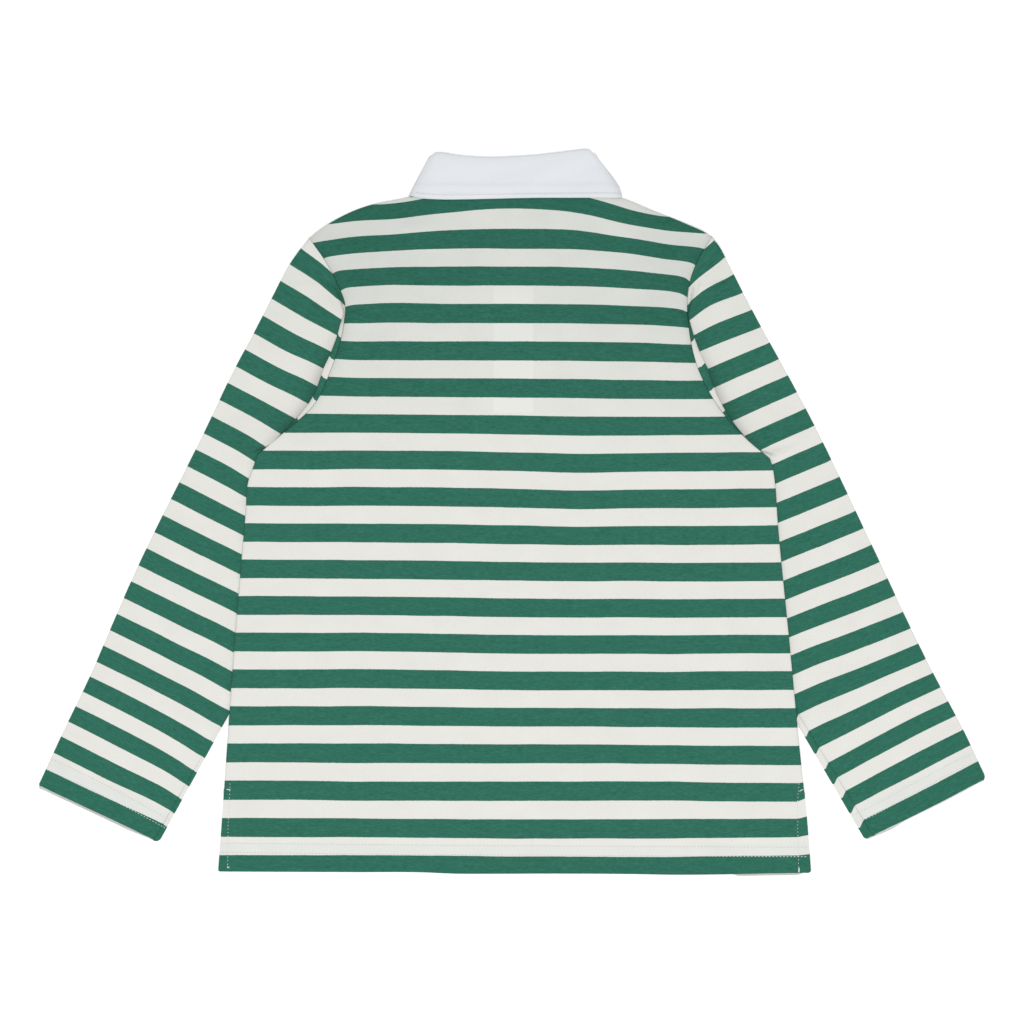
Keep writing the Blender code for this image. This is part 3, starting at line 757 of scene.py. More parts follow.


# %% [markdown]
# ## Striped jersey
# Cotton jersey is a plain knit.  From a step away its loops melt into fine streaks that run
# along the courses, so each colour is mixed unevenly, more so in the green.  The edge of a
# stripe isn't ruled: it steps from loop to loop.  The map's second number says where in the
# repeat a point lies.  Painted shade makes the cloth a little greyer over the shoulders and
# darker where a second map says, the turned-up hems let their green side through, and the
# white placket under the back lightens it.

# %% Colours and scales of the jersey
GREEN_DEEP = (0.0158, 0.1125, 0.0730, 1.0)
GREEN_LIGHT = (0.0335, 0.1705, 0.1180, 1.0)
OFF_WHITE = (0.777, 0.771, 0.736, 1.0)
OFF_WHITE_GREY = (0.725, 0.718, 0.676, 1.0)
BAND_WHITE = (0.825, 0.820, 0.784, 1.0)
# Painted shade: colours are darkened towards this where the second map says
PAINTED_SHADE_TINT = (0.50, 0.50, 0.49, 1.0)
HEM_TINT = (0.962, 0.985, 0.992, 1.0)
# Painted shade over the shoulders of the body and of the sleeves
BODY_SHOULDER_SHADE_TINT = (0.843, 0.878, 0.872, 1.0)
SLEEVE_SHOULDER_SHADE_TINT = (0.955, 0.965, 0.960, 1.0)

# Features of each pattern per metre across and per stripe repeat down, then its detail
RAGGED = (900.0, 2.0, 1.0)
WANDER = (35.0, 1.0, 1.0)
STREAK = (260.0, 24.0, 2.0, 0.6)
BROAD = (70.0, 9.0, 2.0)
FLECK = (900.0, 60.0, 1.0)
CLOUD = (40.0, 1.6, 2.0)
UNEVEN = (22.0, 38.0, 2.0)

# A wale's width in metres, courses in a repeat, and how soft a stripe's and a hem's edge is
WALE = 0.0011
COURSES = 24.0
STRIPE_EDGE = 0.008
HEM_EDGE = 0.03

# Metres from the placket's middle and up the shirt where the pale strip comes and goes
BAND_SIDE = (0.0130, 0.0148)
BAND_FOOT = (0.068, 0.071)
BAND_HEAD = (0.150, 0.168)
BAND_STRENGTH = 0.55
# Height in metres where the painted shade over the shoulders is full
SHOULDER_TOP = 0.205
print(f"a wale is {WALE / MM:.1f} mm wide and a course {REPEAT / COURSES:.1f} mm high")

# %% Striped jersey material


def striped_jersey(name, hem_count, shoulder_shade_tint, shoulder_low):
    """Two-colour jersey whose stripes follow the cloth's map.

    The hem is tinted from hem_count repeats on.  Painted shade darkens the shoulders from a
    height in metres up, more so towards the sides, and wherever the second map says.
    """
    graph = Graph(name)
    cut = graph.cut()
    across, count, _ = graph.axes(cut)
    x, y, _ = graph.axes(graph.place())
    ragged = graph.noise(cut, *RAGGED) - 0.5
    wander = graph.noise(cut, *WANDER) - 0.5
    phase = (count + ragged * 0.012 + wander * 0.022 + 0.5).fraction()
    half_green = GREEN_SHARE / 2.0
    white = (phase - 0.5).size().step(half_green - STRIPE_EDGE, half_green + STRIPE_EDGE)
    streak = graph.noise(cut, *STREAK)
    broad = graph.noise(cut, *BROAD)
    fleck = graph.noise(cut, *FLECK)
    heather = (streak * 0.55 + broad * 0.25 + fleck * 0.2 - 0.5) * 3.4 + 0.5
    green = graph.blend(heather, GREEN_DEEP, GREEN_LIGHT)
    cloud = graph.noise(cut, *CLOUD)
    soft = (cloud * 0.55 + streak * 0.45 - 0.5) * 2.2 + 0.5
    pale = graph.blend(soft, OFF_WHITE_GREY, OFF_WHITE)
    over_band = (1.0 - (x - PLACKET_X * MM).size().step(*BAND_SIDE)) * y.step(*BAND_FOOT)
    over_band = over_band * (1.0 - y.step(*BAND_HEAD))
    pale = graph.blend(over_band * BAND_STRENGTH, pale, BAND_WHITE)
    colour = graph.blend(white, green, pale)
    hem = count.step(hem_count - HEM_EDGE, hem_count + HEM_EDGE)
    colour = graph.blend(hem, colour, HEM_TINT, "MULTIPLY")
    # Painted shade over the shoulders, more so towards the sides and uneven from place to place
    shoulder = y.step(shoulder_low, SHOULDER_TOP) * (x.size() * 5.0 + 0.50)
    uneven = (graph.noise(graph.place(), *UNEVEN) - 0.5) * 1.1 + 1.0
    colour = graph.blend(shoulder * uneven, colour, shoulder_shade_tint, "MULTIPLY")
    # Painted shade from the second map, beside folds, along edges and in creases
    painted_shade = graph.axes(graph.cut("painted_shade"))[0]
    colour = graph.blend(painted_shade, colour, PAINTED_SHADE_TINT, "MULTIPLY")
    wales = (across * (2.0 * math.pi / WALE)).sine()
    courses = (count * (2.0 * math.pi * COURSES)).sine()
    height = wales * 0.2 + courses * 0.12 + fleck * 0.8 + streak * 0.9
    graph.shader.inputs["Sheen Weight"].default_value = 0.06
    graph.shader.inputs["Sheen Roughness"].default_value = 0.5
    graph.shader.inputs["Specular IOR Level"].default_value = 0.2
    return graph.finish(colour, 0.92 - streak * 0.08, height, 0.0001)


body_jersey = striped_jersey("striped_jersey_body", 16.44, BODY_SHOULDER_SHADE_TINT, 0.02)
sleeve_jersey = striped_jersey("striped_jersey_sleeve", 15.40, SLEEVE_SHOULDER_SHADE_TINT, 0.08)
print("jersey nodes:", len(body_jersey.node_tree.nodes))

# %% [markdown]
# ## Twill, rubber and thread
# Collar and placket are a cool white twill, woven with a fine slanting rib.  The buttons are
# the soft rubber kind.  Thread is white all over.

# %% Twill, rubber and thread materials
COLLAR_LIGHT = (0.785, 0.814, 0.842, 1.0)
COLLAR_DARK = (0.730, 0.760, 0.792, 1.0)
PLACKET_LIGHT = (0.760, 0.775, 0.780, 1.0)
PLACKET_DARK = (0.720, 0.735, 0.740, 1.0)
RUBBER = (0.72, 0.71, 0.67)
THREAD = (0.70, 0.70, 0.67)
RIB = 0.0009


def twill(name, light, dark):
    """White twill with a fine slanting rib."""
    graph = Graph(name)
    cut = graph.cut()
    across, down, _ = graph.axes(cut)
    rib = ((across + down) * (2.0 * math.pi / RIB)).sine()
    weave = graph.noise(cut, 500.0, 500.0)
    cloud = graph.noise(cut, 25.0, 60.0)
    tone = graph.blend((cloud * 0.6 + weave * 0.4 - 0.5) * 2.0 + 0.5, dark, light)
    # Painted shade from the second map
    tone = graph.blend(graph.axes(graph.cut("painted_shade"))[0], tone, PAINTED_SHADE_TINT, "MULTIPLY")
    graph.shader.inputs["Sheen Weight"].default_value = 0.06
    graph.shader.inputs["Specular IOR Level"].default_value = 0.25
    return graph.finish(tone, 0.88 - weave * 0.1, rib * 0.3 + weave, 0.00006)


def plain(name, colour, roughness, grain):
    """Even surface with a slight grain, whose dark parts are 8 per cent darker."""
    graph = Graph(name)
    speck = graph.noise(graph.place(), grain, grain)
    tone = graph.blend(speck, tuple(part * 0.92 for part in colour) + (1.0,), (*colour, 1.0))
    return graph.finish(tone, roughness + speck * 0.08, speck, 0.00002)


collar_twill = twill("collar_twill_cloth", COLLAR_LIGHT, COLLAR_DARK)
placket_twill = twill("placket_twill_cloth", PLACKET_LIGHT, PLACKET_DARK)
rubber = plain("button_rubber_matt", RUBBER, 0.42, 600.0)
thread = plain("white_thread", THREAD, 0.7, 2500.0)
print("materials:", ", ".join(sorted(material.name for material in bpy.data.materials)))

# %% [markdown]
# ## Back and front panels
# Both panels share one grid, with rows from shoulders to hem and columns across.  Along the
# seams the back's edge rolls down over the front's, which is set in a little, so the seam
# shows as a fine rounded line and not as two raw edges.

# %% Rows, columns and edges
ARMHOLE_ROWS = 64
SIDE_ROWS = 112
HALF_COLUMNS = 74
SLOT_COLUMNS = np.array((-0.5, 0.0, 0.5))

# Radius of the rolled edge and the depth of its end, then what is left of the back's roll and
# inset beside a sleeve, the station where that has faded out, over how much it fades, and the
# roll's own fade from the neck corner in millimetres
ROLL = 0.8
ROLL_END = 0.5
ARMHOLE_ROLL = 0.25
ARMHOLE_INSET = 0.55
SLEEVE_STATION = 1.04
SLEEVE_FADE = 0.04
NECK_CORNER_FADE = 4.0

# Where the edge's four points lie in from it, flat and rolled, and how far down when rolled
EDGE_FLAT = ROLL * np.array((0.0, 0.33, 0.66, 1.0))
EDGE_ROLLED = ROLL * np.array((0.0, 0.0, 0.29, 1.0))
EDGE_DOWN = ROLL * np.array((1.0, 1.0, 0.29, 0.0)) + (ROLL_END, 0.0, 0.0, 0.0)

# The last rows of a hem, as distances from its end, where the even rows stop before them,
# the rounding of the body's corners, and the station from which the hem sags
HEM_END = np.array([3.6, 2.6, 1.8, 1.2, 0.7, 0.3, 0.0])
EVEN_ROWS_END = HEM_END[0] + 1.0
BODY_RADII = (1.3, 2.0)
SAG_STATION = 1.75
print(f"a hem ends in {len(HEM_END)} narrow rows, the last {HEM_END[-2]} mm apart")

# %% Grid of a panel


def half_columns(edge_x, slot_x, inset, roll):
    """X of the columns from a body edge to the placket's side, for all rows at once."""
    inward = math.copysign(1.0, slot_x - edge_x[0])
    start = (edge_x + inward * inset)[:, None]
    rim = start + inward * mix(EDGE_FLAT, EDGE_ROLLED, roll[:, None])
    shares = np.linspace(0.0, 1.0, HALF_COLUMNS + 1)[1:]
    return np.concatenate((rim, mix(rim[:, -1:], slot_x, shares)), axis=1)


def corner_inset(radius, distance):
    """How far a rounded corner lies in from its side: r - sqrt(r^2 - (r - distance)^2)."""
    near = np.clip(1.0 - distance / radius, 0.0, 1.0)
    return radius * (1.0 - np.sqrt(1.0 - near ** 2))


def panel(neck_y, mid_level, inset, rolls):
    """Mid-surface of the back or the front, rows from the top edge down to the hem."""
    edges = len(EDGE_FLAT)
    drop_height = LEFT.tip_y - LEFT.armpit_y
    fall_height = LEFT.armpit_y - LEFT.hem_y
    stations = np.concatenate((
        EDGE_FLAT / drop_height, np.linspace(0.0, 1.0, ARMHOLE_ROWS + 1)[1:],
        1.0 + np.linspace(0.0, 1.0 - EVEN_ROWS_END / fall_height, SIDE_ROWS + 1)[1:],
        2.0 - HEM_END / fall_height))
    seam = np.where(stations < 1.0 + VENT_FALL, 1.0, 0.0)
    seam[:edges] = 0.0
    beside_sleeve = ease((SLEEVE_STATION - stations) / SLEEVE_FADE) if rolls else 0.0 * stations
    roll = seam * mix(1.0, ARMHOLE_ROLL, beside_sleeve) if rolls else np.zeros(len(stations))
    inset_x = inset * seam * mix(1.0, ARMHOLE_INSET, beside_sleeve)
    from_hem = (2.0 - stations) * fall_height
    left, right = body_edge(LEFT, stations), body_edge(RIGHT, stations)
    half = PLACKET_WIDTH / 2.0
    from_left = half_columns(left[:, 0], PLACKET_X - half,
                             inset_x + corner_inset(BODY_RADII[0], from_hem), roll)
    from_right = half_columns(right[:, 0], PLACKET_X + half,
                              inset_x + corner_inset(BODY_RADII[1], from_hem), roll)
    slot_shape = (len(stations), len(SLOT_COLUMNS))
    slot = np.broadcast_to(PLACKET_X + half * SLOT_COLUMNS, slot_shape)
    x = np.concatenate((from_left, slot, from_right[:, ::-1]), axis=1)
    y = row_heights(neck_y, stations, x)
    down = np.zeros(x.shape)
    down[:, :edges] = EDGE_DOWN * roll[:, None]
    down[:, -edges:] = EDGE_DOWN[::-1] * roll[:, None]
    shoulder = ease((np.abs(x[0] - NECK_X) - NECK_HALF) / NECK_CORNER_FADE)
    top_roll = shoulder if rolls else 0.0 * shoulder
    y[:edges] = (top_line(neck_y, x[0]) - inset * shoulder
                 - mix(EDGE_FLAT[:, None], EDGE_ROLLED[:, None], top_roll))
    down[:edges] = EDGE_DOWN[:, None] * top_roll
    sagging = ease((stations - SAG_STATION) / (2.0 - SAG_STATION))[:, None]
    y -= curve(HEM_SAG[:, 0], HEM_SAG[:, 1], x) * sagging
    return np.stack((x, y, mid_level(x, y) - down), axis=2), stations


def panel_map(points):
    """Map of a panel: metres across, stripe repeats down."""
    x, y = points[..., 0], points[..., 1]
    return np.stack((x * MM, body_count(x, y)), axis=2)


# %% Back panel
EDGE_SHADE = 0.3
EDGE_SHADE_REACH = 2.5
EDGE_SHADE_RISE = 30.0


def edge_shade(points):
    """Faint shadow along the body's armholes: 0.3 * exp(-distance / 2.5 mm)."""
    x, y = points[..., 0], points[..., 1]
    inside = np.minimum(-clear_of_body(LEFT, x, y), -clear_of_body(RIGHT, x, y))
    near = np.exp(-np.maximum(inside, 0.0) / EDGE_SHADE_REACH)
    return EDGE_SHADE * near * ease((y - LEFT.armpit_y) / EDGE_SHADE_RISE)


back_points, _ = panel(BACK_NECK_Y, back_level, WALL / 2.0, True)
print("back grid", back_points.shape)
back = cloth("panel_back", back_points, panel_map(back_points), body_jersey,
             shade=edge_shade(back_points))
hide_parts("back")
report(back)

# %% [markdown]
# The front's hem comes out a little past the back's near the right vent, and lifts there.  Its
# last rows show the off-white inside of the hem, so their place in the stripes is shifted.

# %% Front hem that peeps out
# How far a lower hem comes out and lifts, each over some length, and the inside's shift
HEM_PEEK = 1.9
PEEK_LENGTH = 8.0
HEM_CURL = 0.6
HEM_CURL_LENGTH = 1.4
INSIDE_SHIFT = 0.4
INSIDE_LENGTH = 1.2

# Share of that at the front's hem, and where along X it starts and ends
FRONT_PEEK = 0.9
FRONT_PEEK_START = (152.0, 8.0)
FRONT_PEEK_END = (204.0, 4.0)

front_points, front_stations = panel(FRONT_NECK_Y, front_level, WALL + GAP, False)
front_end = (2.0 - front_stations) * (LEFT.armpit_y - LEFT.hem_y)
front_x = front_points[..., 0]
peeking = (ease((front_x - FRONT_PEEK_START[0]) / FRONT_PEEK_START[1])
           * ease((FRONT_PEEK_END[0] - front_x) / FRONT_PEEK_END[1]))
coming_out = ease(1.0 - front_end / PEEK_LENGTH)[:, None]
lifting = ease(1.0 - front_end / HEM_CURL_LENGTH)[:, None]
front_points[..., 1] -= FRONT_PEEK * HEM_PEEK * coming_out * peeking
front_points[..., 2] += HEM_CURL * lifting * peeking
front_map = panel_map(front_points)
front_map[..., 1] += INSIDE_SHIFT * ease(2.0 - front_end / INSIDE_LENGTH)[:, None] * peeking
print("front grid", front_points.shape)

# %% Front panel with the placket's slit
slot_keep = np.ones((front_points.shape[0] - 1, front_points.shape[1] - 1), bool)
slot_first = len(EDGE_FLAT) + HALF_COLUMNS - 1
slot_rows = np.argmin(np.abs(front_stations - SLOT_BOTTOM))
slot_keep[:slot_rows, slot_first:slot_first + len(SLOT_COLUMNS) + 1] = False
front = cloth("panel_front", front_points, front_map, body_jersey,
              keep=slot_keep)
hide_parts("front")
report(front)

# %% [markdown]
# ## Sleeves
# A sleeve is a flattened tube.  Below the armpit it is a closed ring, flat between its outer
# fold and its underarm.  Above the armpit its top sheet begins at the armhole seam and folds
# back over itself in a knife pleat, which shows as a narrow crescent of cloth beside the seam.
# The sheet that lies on top rounds over softly before it turns under.

# %% Pleat beside the armhole
# Share of the drop, how far the cloth turns (1 is right over), depth of the hidden run, and
# the crescent's width on the left and on the right
PLEAT = np.array([
    (0.20, 0.0, 0.0, 0.0, 0.0),
    (0.30, 0.5, 0.3, 0.0, 0.0),
    (0.40, 1.0, 2.0, 3.0, 2.0),
    (0.60, 1.0, 6.0, 5.7, 7.0),
    (0.80, 1.0, 3.0, 4.2, 2.8),
    (0.90, 1.0, 1.0, 1.2, 1.2),
    (0.96, 0.9, 0.4, 0.0, 0.0),
    (1.00, 0.0, 0.0, 0.0, 0.0),
])
PLEAT_SLOPE = 34.0
PLEAT_END = 0.1
HIDDEN_LEAST = 0.3
SOFT_FOLD = 0.95
PUFF = 1.7
PUFF_REACH = 7.0
CRESCENT_SLOPE = 0.2
CRESCENT_LEAST = 1.5

# Points of a row: crescent, each arc of the pleat, top sheet, each fold, and lower sheet
CRESCENT_STEPS = 5
ARC_STEPS = 6
TOP_STEPS = 44
FOLD_STEPS = 8
BOTTOM_STEPS = 36


def pleat_profile(side, drop):
    """Steps outward and upward from the seam: crescent, tight arc, hidden run, soft arc."""
    turn = math.pi * np.interp(drop, PLEAT[:, 0], PLEAT[:, 1])
    depth = max(HIDDEN_LEAST, np.interp(drop, PLEAT[:, 0], PLEAT[:, 2]))
    crescent = np.interp(drop, PLEAT[:, 0], PLEAT[:, 2 + side.column])
    arc_angles = turn * (np.arange(ARC_STEPS) + 0.5) / ARC_STEPS
    angles = np.concatenate((arc_angles, (turn,), arc_angles[::-1]))
    arc = np.full(ARC_STEPS, math.pi / ARC_STEPS)
    lengths = np.concatenate((arc * FOLD, (depth,), arc * SOFT_FOLD))
    outward = np.cumsum(lengths * np.cos(angles))
    upward = np.cumsum(lengths * np.sin(angles))
    run = max(CRESCENT_LEAST, crescent + SOFT_FOLD - outward[-1])
    seam_rise = min(upward[-1], CRESCENT_SLOPE * run)
    crescent_out = np.linspace(0.0, run, CRESCENT_STEPS + 1)
    return (np.concatenate((crescent_out, run + outward)),
            np.concatenate((seam_rise * (1.0 - crescent_out / run), upward)))


pleat_out, pleat_up = pleat_profile(LEFT, 0.6)
print(f"the left pleat reaches {pleat_out[-1]:.1f} mm out and {pleat_up[-1]:.1f} mm up")

# %% One row round a sleeve
# The underarm seam lies a little in from the inner fold: height where it comes into view,
# its distance from the fold at the cuff, and how much the stripes beyond it hang lower
UNDERARM = {"left": (-140.0, 2.6, 0.4), "right": (-60.0, 5.4, 0.8)}
UNDERARM_LEAST = 0.6
UNDERARM_SLOPE = 1.5
GROOVE = 0.35
GROOVE_HALF = 0.35

# The run over the tuck: shares of the way to the groove, then steps that widen beyond it
RETURN_PLACES = np.array([0.15, 0.35, 0.6, 0.8])
RETURN_STEPS = 16
RETURN_WIDEN = 1.3

# How far the upper sheet swells, how far in from its folds and from the body it does, and how
# unevenly: least share, what the waver adds, and how much closer its waves lie than the back's
SWELL = 1.2
SWELL_EDGE = 18.0
SWELL_CLEAR = 12.0
SWELL_SLOPE = 25.0
SWELL_LEAST = 0.75
SWELL_VARIES = 0.4
SWELL_CLOSER = 1.6


def sleeve_swell(side, points, outer, inner):
    """Soft rise of the sleeve's upper points away from its folds and from the body."""
    plan = points[:, :2]
    from_outer = np.hypot(*(plan - outer).T)
    from_inner = np.hypot(*(plan - inner).T)
    clear = ease((clear_of_body(side, plan[:, 0], plan[:, 1]) - SWELL_CLEAR) / SWELL_SLOPE)
    waves = waver(SWELL_CLOSER * plan[:, 0], SWELL_CLOSER * plan[:, 1])
    uneven = SWELL_LEAST + SWELL_VARIES * waves
    return SWELL * clear * uneven * ease(np.minimum(from_outer, from_inner) / SWELL_EDGE)


def edge_fold(centre, direction, top, bottom):
    """Half round that carries a sheet from one height over to another."""
    angles = np.linspace(math.pi / 2.0, -math.pi / 2.0, FOLD_STEPS + 1)[1:]
    plan = centre + np.outer(FOLD * np.cos(angles), direction)
    return np.column_stack((plan, (top + bottom) / 2.0 + (top - bottom) / 2.0 * np.sin(angles)))


def straight(start, end, steps, height):
    """Points of a level run, without the first."""
    plan = mix(np.asarray(start), np.asarray(end), np.linspace(0.0, 1.0, steps + 1)[1:, None])
    return np.column_stack((plan, np.full(steps, height)))


def seam_distance(side, y):
    """Distance of the underarm seam from the inner fold, which it leaves low on the sleeve."""
    start, at_cuff, _ = UNDERARM[side.name]
    share = np.clip((start - y) / (start - side.cuff_inner[1]), 0.0, 1.0)
    return UNDERARM_LEAST + (at_cuff - UNDERARM_LEAST) * share


def seam_shown(distance):
    """How plain the underarm seam is at a distance from the fold, from 0 to 1."""
    return ease((distance - UNDERARM_LEAST) / UNDERARM_SLOPE)


def tucked_run(side, inner, end):
    """The upper sheet from the inner fold to the seam, with a groove at the underarm seam."""
    run = np.asarray(end) - inner
    length = np.hypot(*run)
    near = seam_distance(side, inner[1])
    groove = near + np.array((-GROOVE_HALF, 0.0, GROOVE_HALF))
    shares = np.linspace(0.0, 1.0, RETURN_STEPS + 1)[1:] ** RETURN_WIDEN
    beyond = mix(groove[-1], length, shares)
    reach = np.concatenate((groove[0] * RETURN_PLACES, groove, beyond))
    height = level(1) - GROOVE * seam_shown(near) * (reach == near)
    return np.column_stack((inner + reach[:, None] * run / length, height))


def sleeve_row(side, seam, outer, inner, drop):
    """One row round the sleeve, from the seam out, round under it and back over the tuck.

    The upper sheet starts raised by the pleat and comes down to its layer over PLEAT_SLOPE.
    """
    outward = outer - seam
    width = np.hypot(*outward)
    outward = outward / width
    out, up = pleat_profile(side, min(drop, 1.0))
    past = np.linspace(0.0, width - out[-1], TOP_STEPS + 1)[1:]
    raised = 2.0 * PITCH * ease((1.0 - drop) / PLEAT_END)
    pleated = PLEAT[0, 0] < drop < 1.0
    if pleated:
        raised = max(raised, up[-1])
        near = level(1) + up
    else:
        near = level(1) + raised * ease(1.0 - out / PLEAT_SLOPE)
    start = 0.0 if pleated else out[-1]
    turned = np.interp(drop, PLEAT[:, 0], PLEAT[:, 1]) if pleated else 0.0
    puff = PUFF * turned * ease(past / PUFF_REACH) * ease(1.0 - (past - PUFF_REACH) / PLEAT_SLOPE)
    sheet = level(1) + raised * ease(1.0 - (past + start) / PLEAT_SLOPE) + puff
    reach = np.concatenate((out, out[-1] + past))
    top = np.column_stack((seam + reach[:, None] * outward, np.concatenate((near, sheet))))
    inward = unit(inner - outer)
    end = seam if drop >= 1.0 else armhole_point(side, drop)
    tucked = tucked_run(side, inner, end)
    top[:, 2] += sleeve_swell(side, top, outer, inner)
    tucked[:, 2] += sleeve_swell(side, tucked, outer, inner)
    return np.concatenate((
        top,
        edge_fold(outer, outward, top[-1, 2], level(0)),
        straight(outer, inner, BOTTOM_STEPS, level(0)),
        edge_fold(inner, inward, level(0), level(1)),
        tucked,
    ))


# %% [markdown]
# The cuff is hemmed like the body, with its corners a little rounded.  Its lower sheet comes
# out past the upper one, all along on the left and only at one corner on the right.

# %% Cuff
# How far up the cuff's hem reaches, and the rounding of its outer and inner corner
HEM_DEPTH = 19.4
CUFF_RADII = {"left": (1.2, 3.0), "right": (3.6, 2.0)}

# Share of the lower sheet's peek at the outer fold, how much it changes towards the inner one,
# and at what share of the way across that change starts and how long it takes
CUFF_PEEK = {"left": (1.0, -0.7, 0.75, 0.25), "right": (0.0, 0.55, 0.62, 0.2)}


def middle_level():
    """Height between a sleeve's lower and upper sheet."""
    return (level(0) + level(1)) / 2.0


def cuff_peek(side, across):
    """How much of the lower sheet comes out at each place across: all along, or one corner."""
    at_outer, change, start, length = CUFF_PEEK[side.name]
    return at_outer + change * ease((across - start) / length)


def cuff_distance(points):
    """Distance of every point from the cuff's end, measured down its own column."""
    steps = np.linalg.norm(np.diff(points, axis=0), axis=2)
    return np.concatenate((np.cumsum(steps[::-1], axis=0)[::-1], np.zeros((1, points.shape[1]))))


def cuff_shape(side, points):
    """Let the cuff's end hang as its table says, and raise its turned-up hem a little.

    The lower sheet comes out a little past the upper one, as a hem's fold does.
    """
    outer, inner = sleeve_outer(side, side.cuff_y), np.array(side.cuff_inner)
    along = unit(inner - outer)
    across = ((points[..., :2] - outer) * along).sum(axis=2) / np.hypot(*(inner - outer))
    from_cuff = cuff_distance(points)
    fade = ease(1.0 - from_cuff / CUFF_SAG_FADE)
    points[..., 1] -= fade * column(CUFF_SAG, side.column, across)
    top = points[..., 2] > middle_level()
    points[..., 2] += HEM_STEP * ease((HEM_DEPTH - from_cuff) / HEM_STEP_SLOPE) * top
    below = ease((middle_level() - points[..., 2]) / FOLD) * cuff_peek(side, across)
    peek = HEM_PEEK * ease(1.0 - from_cuff / PEEK_LENGTH) * below
    points[..., 2] += HEM_CURL * ease(1.0 - from_cuff / HEM_CURL_LENGTH) * below
    down = np.array(side.cuff_inner) - np.array(side.tuck)
    points[..., :2] += peek[..., None] * down / np.hypot(*down)
    return points


print(f"the right cuff's corner peeps out {HEM_PEEK * cuff_peek(RIGHT, 1.0):.1f} mm")

# %% Sleeve from shoulder to cuff
CAP_ROWS = 60
LOWER_ROWS = 96
CAP_DROPS = np.linspace(0.0, 1.0, CAP_ROWS + 1)[:-1]

# Where a sleeve's first row starts below the tip, how much higher than the armpit the outer
# end of the armpit's row lies, over what share its bend fades, and where the tuck begins
SHOULDER_BLUNT = 4.0
ARMPIT_ROW_RISE = 17.0
ARMPIT_FADE = 0.25
TUCK_START_IN = 3.0


def sleeve(side):
    """Mid-surface of a sleeve: the cap's open rows, and the closed rows down to the cuff."""
    outer_start = side.tip_y - SHOULDER_BLUNT
    outer_at_armpit = side.armpit_y + ARMPIT_ROW_RISE
    tuck = np.array(side.tuck)
    tuck_start = armhole_point(side, 0.0) - (side.sign * TUCK_START_IN, 0.0)
    cap = []
    for drop in CAP_DROPS:
        seam = armhole_point(side, drop) + (side.sign * SEAM_GAP, 0.0)
        outer = sleeve_outer(side, mix(outer_start, outer_at_armpit, drop))
        cap.append(sleeve_row(side, seam, outer, mix(tuck_start, tuck, drop), drop))
    armpit = armhole_point(side, 1.0)
    outer = sleeve_outer(side, outer_at_armpit)
    armpit_share = np.hypot(*(armpit - outer)) / np.hypot(*(tuck - outer))
    bend = armpit - mix(outer, tuck, armpit_share)
    cuff_inner = np.array(side.cuff_inner) - (side.sign * (WALL / 2.0 + FOLD), 0.0)
    length = np.hypot(*(sleeve_outer(side, side.cuff_y) - outer))
    shares = np.linspace(0.0, 1.0 - EVEN_ROWS_END / length, LOWER_ROWS + 1)
    outer_radius, inner_radius = CUFF_RADII[side.name]
    lower = []
    for share in np.concatenate((shares, 1.0 - HEM_END / length)):
        outer = sleeve_outer(side, mix(outer_at_armpit, side.cuff_y, share))
        inner = mix(tuck, cuff_inner, share)
        seam = mix(outer, inner, armpit_share) + bend * ease(1.0 - share / ARMPIT_FADE)
        inward = unit(inner - outer)
        left = (1.0 - share) * length
        outer = outer + inward * corner_inset(outer_radius, left)
        inner = inner - inward * corner_inset(inner_radius, left)
        lower.append(sleeve_row(side, seam, outer, inner, 1.0))
    return cuff_shape(side, np.array(cap + lower))


# %% [markdown]
# A sleeve's stripes cross it from fold to fold.  The crescent shows another part of the cloth
# than the sheet beside it, so its stripes have places of their own.

# %% Stripes and shading of a sleeve
# Columns up to the end of the crescent's arc, of the top sheet, and up to the inner fold
SHOWN = CRESCENT_STEPS + 1 + ARC_STEPS
TOP_START = SHOWN + 1
TOP_END = TOP_START + ARC_STEPS + TOP_STEPS
INNER_COLUMN = TOP_END + FOLD_STEPS + BOTTOM_STEPS + FOLD_STEPS - 1

# Shares of the drop where the crescent's stripes come in, over how much, and where they stop,
# then how much faster they change towards the fold and how far past it
CRESCENT_START = 0.3
CRESCENT_FADE = 0.1
CRESCENT_END = 0.955
CRESCENT_POWER = 1.5
CRESCENT_PAST = 1.2

# Depth of the shadow beside the pleat's fold at shares of the drop, how far it reaches, how
# much of it the crescent gets, and the groove's own
FOLD_SHADE = np.array([
    (0.0, 0.0), (0.25, 0.0), (0.42, 0.3), (0.55, 0.55), (0.65, 1.0), (0.9, 0.9), (1.0, 0.2),
])
FOLD_SHADE_REACH = 4.0
CRESCENT_SHADE = 0.35
GROOVE_SHADE = 0.85


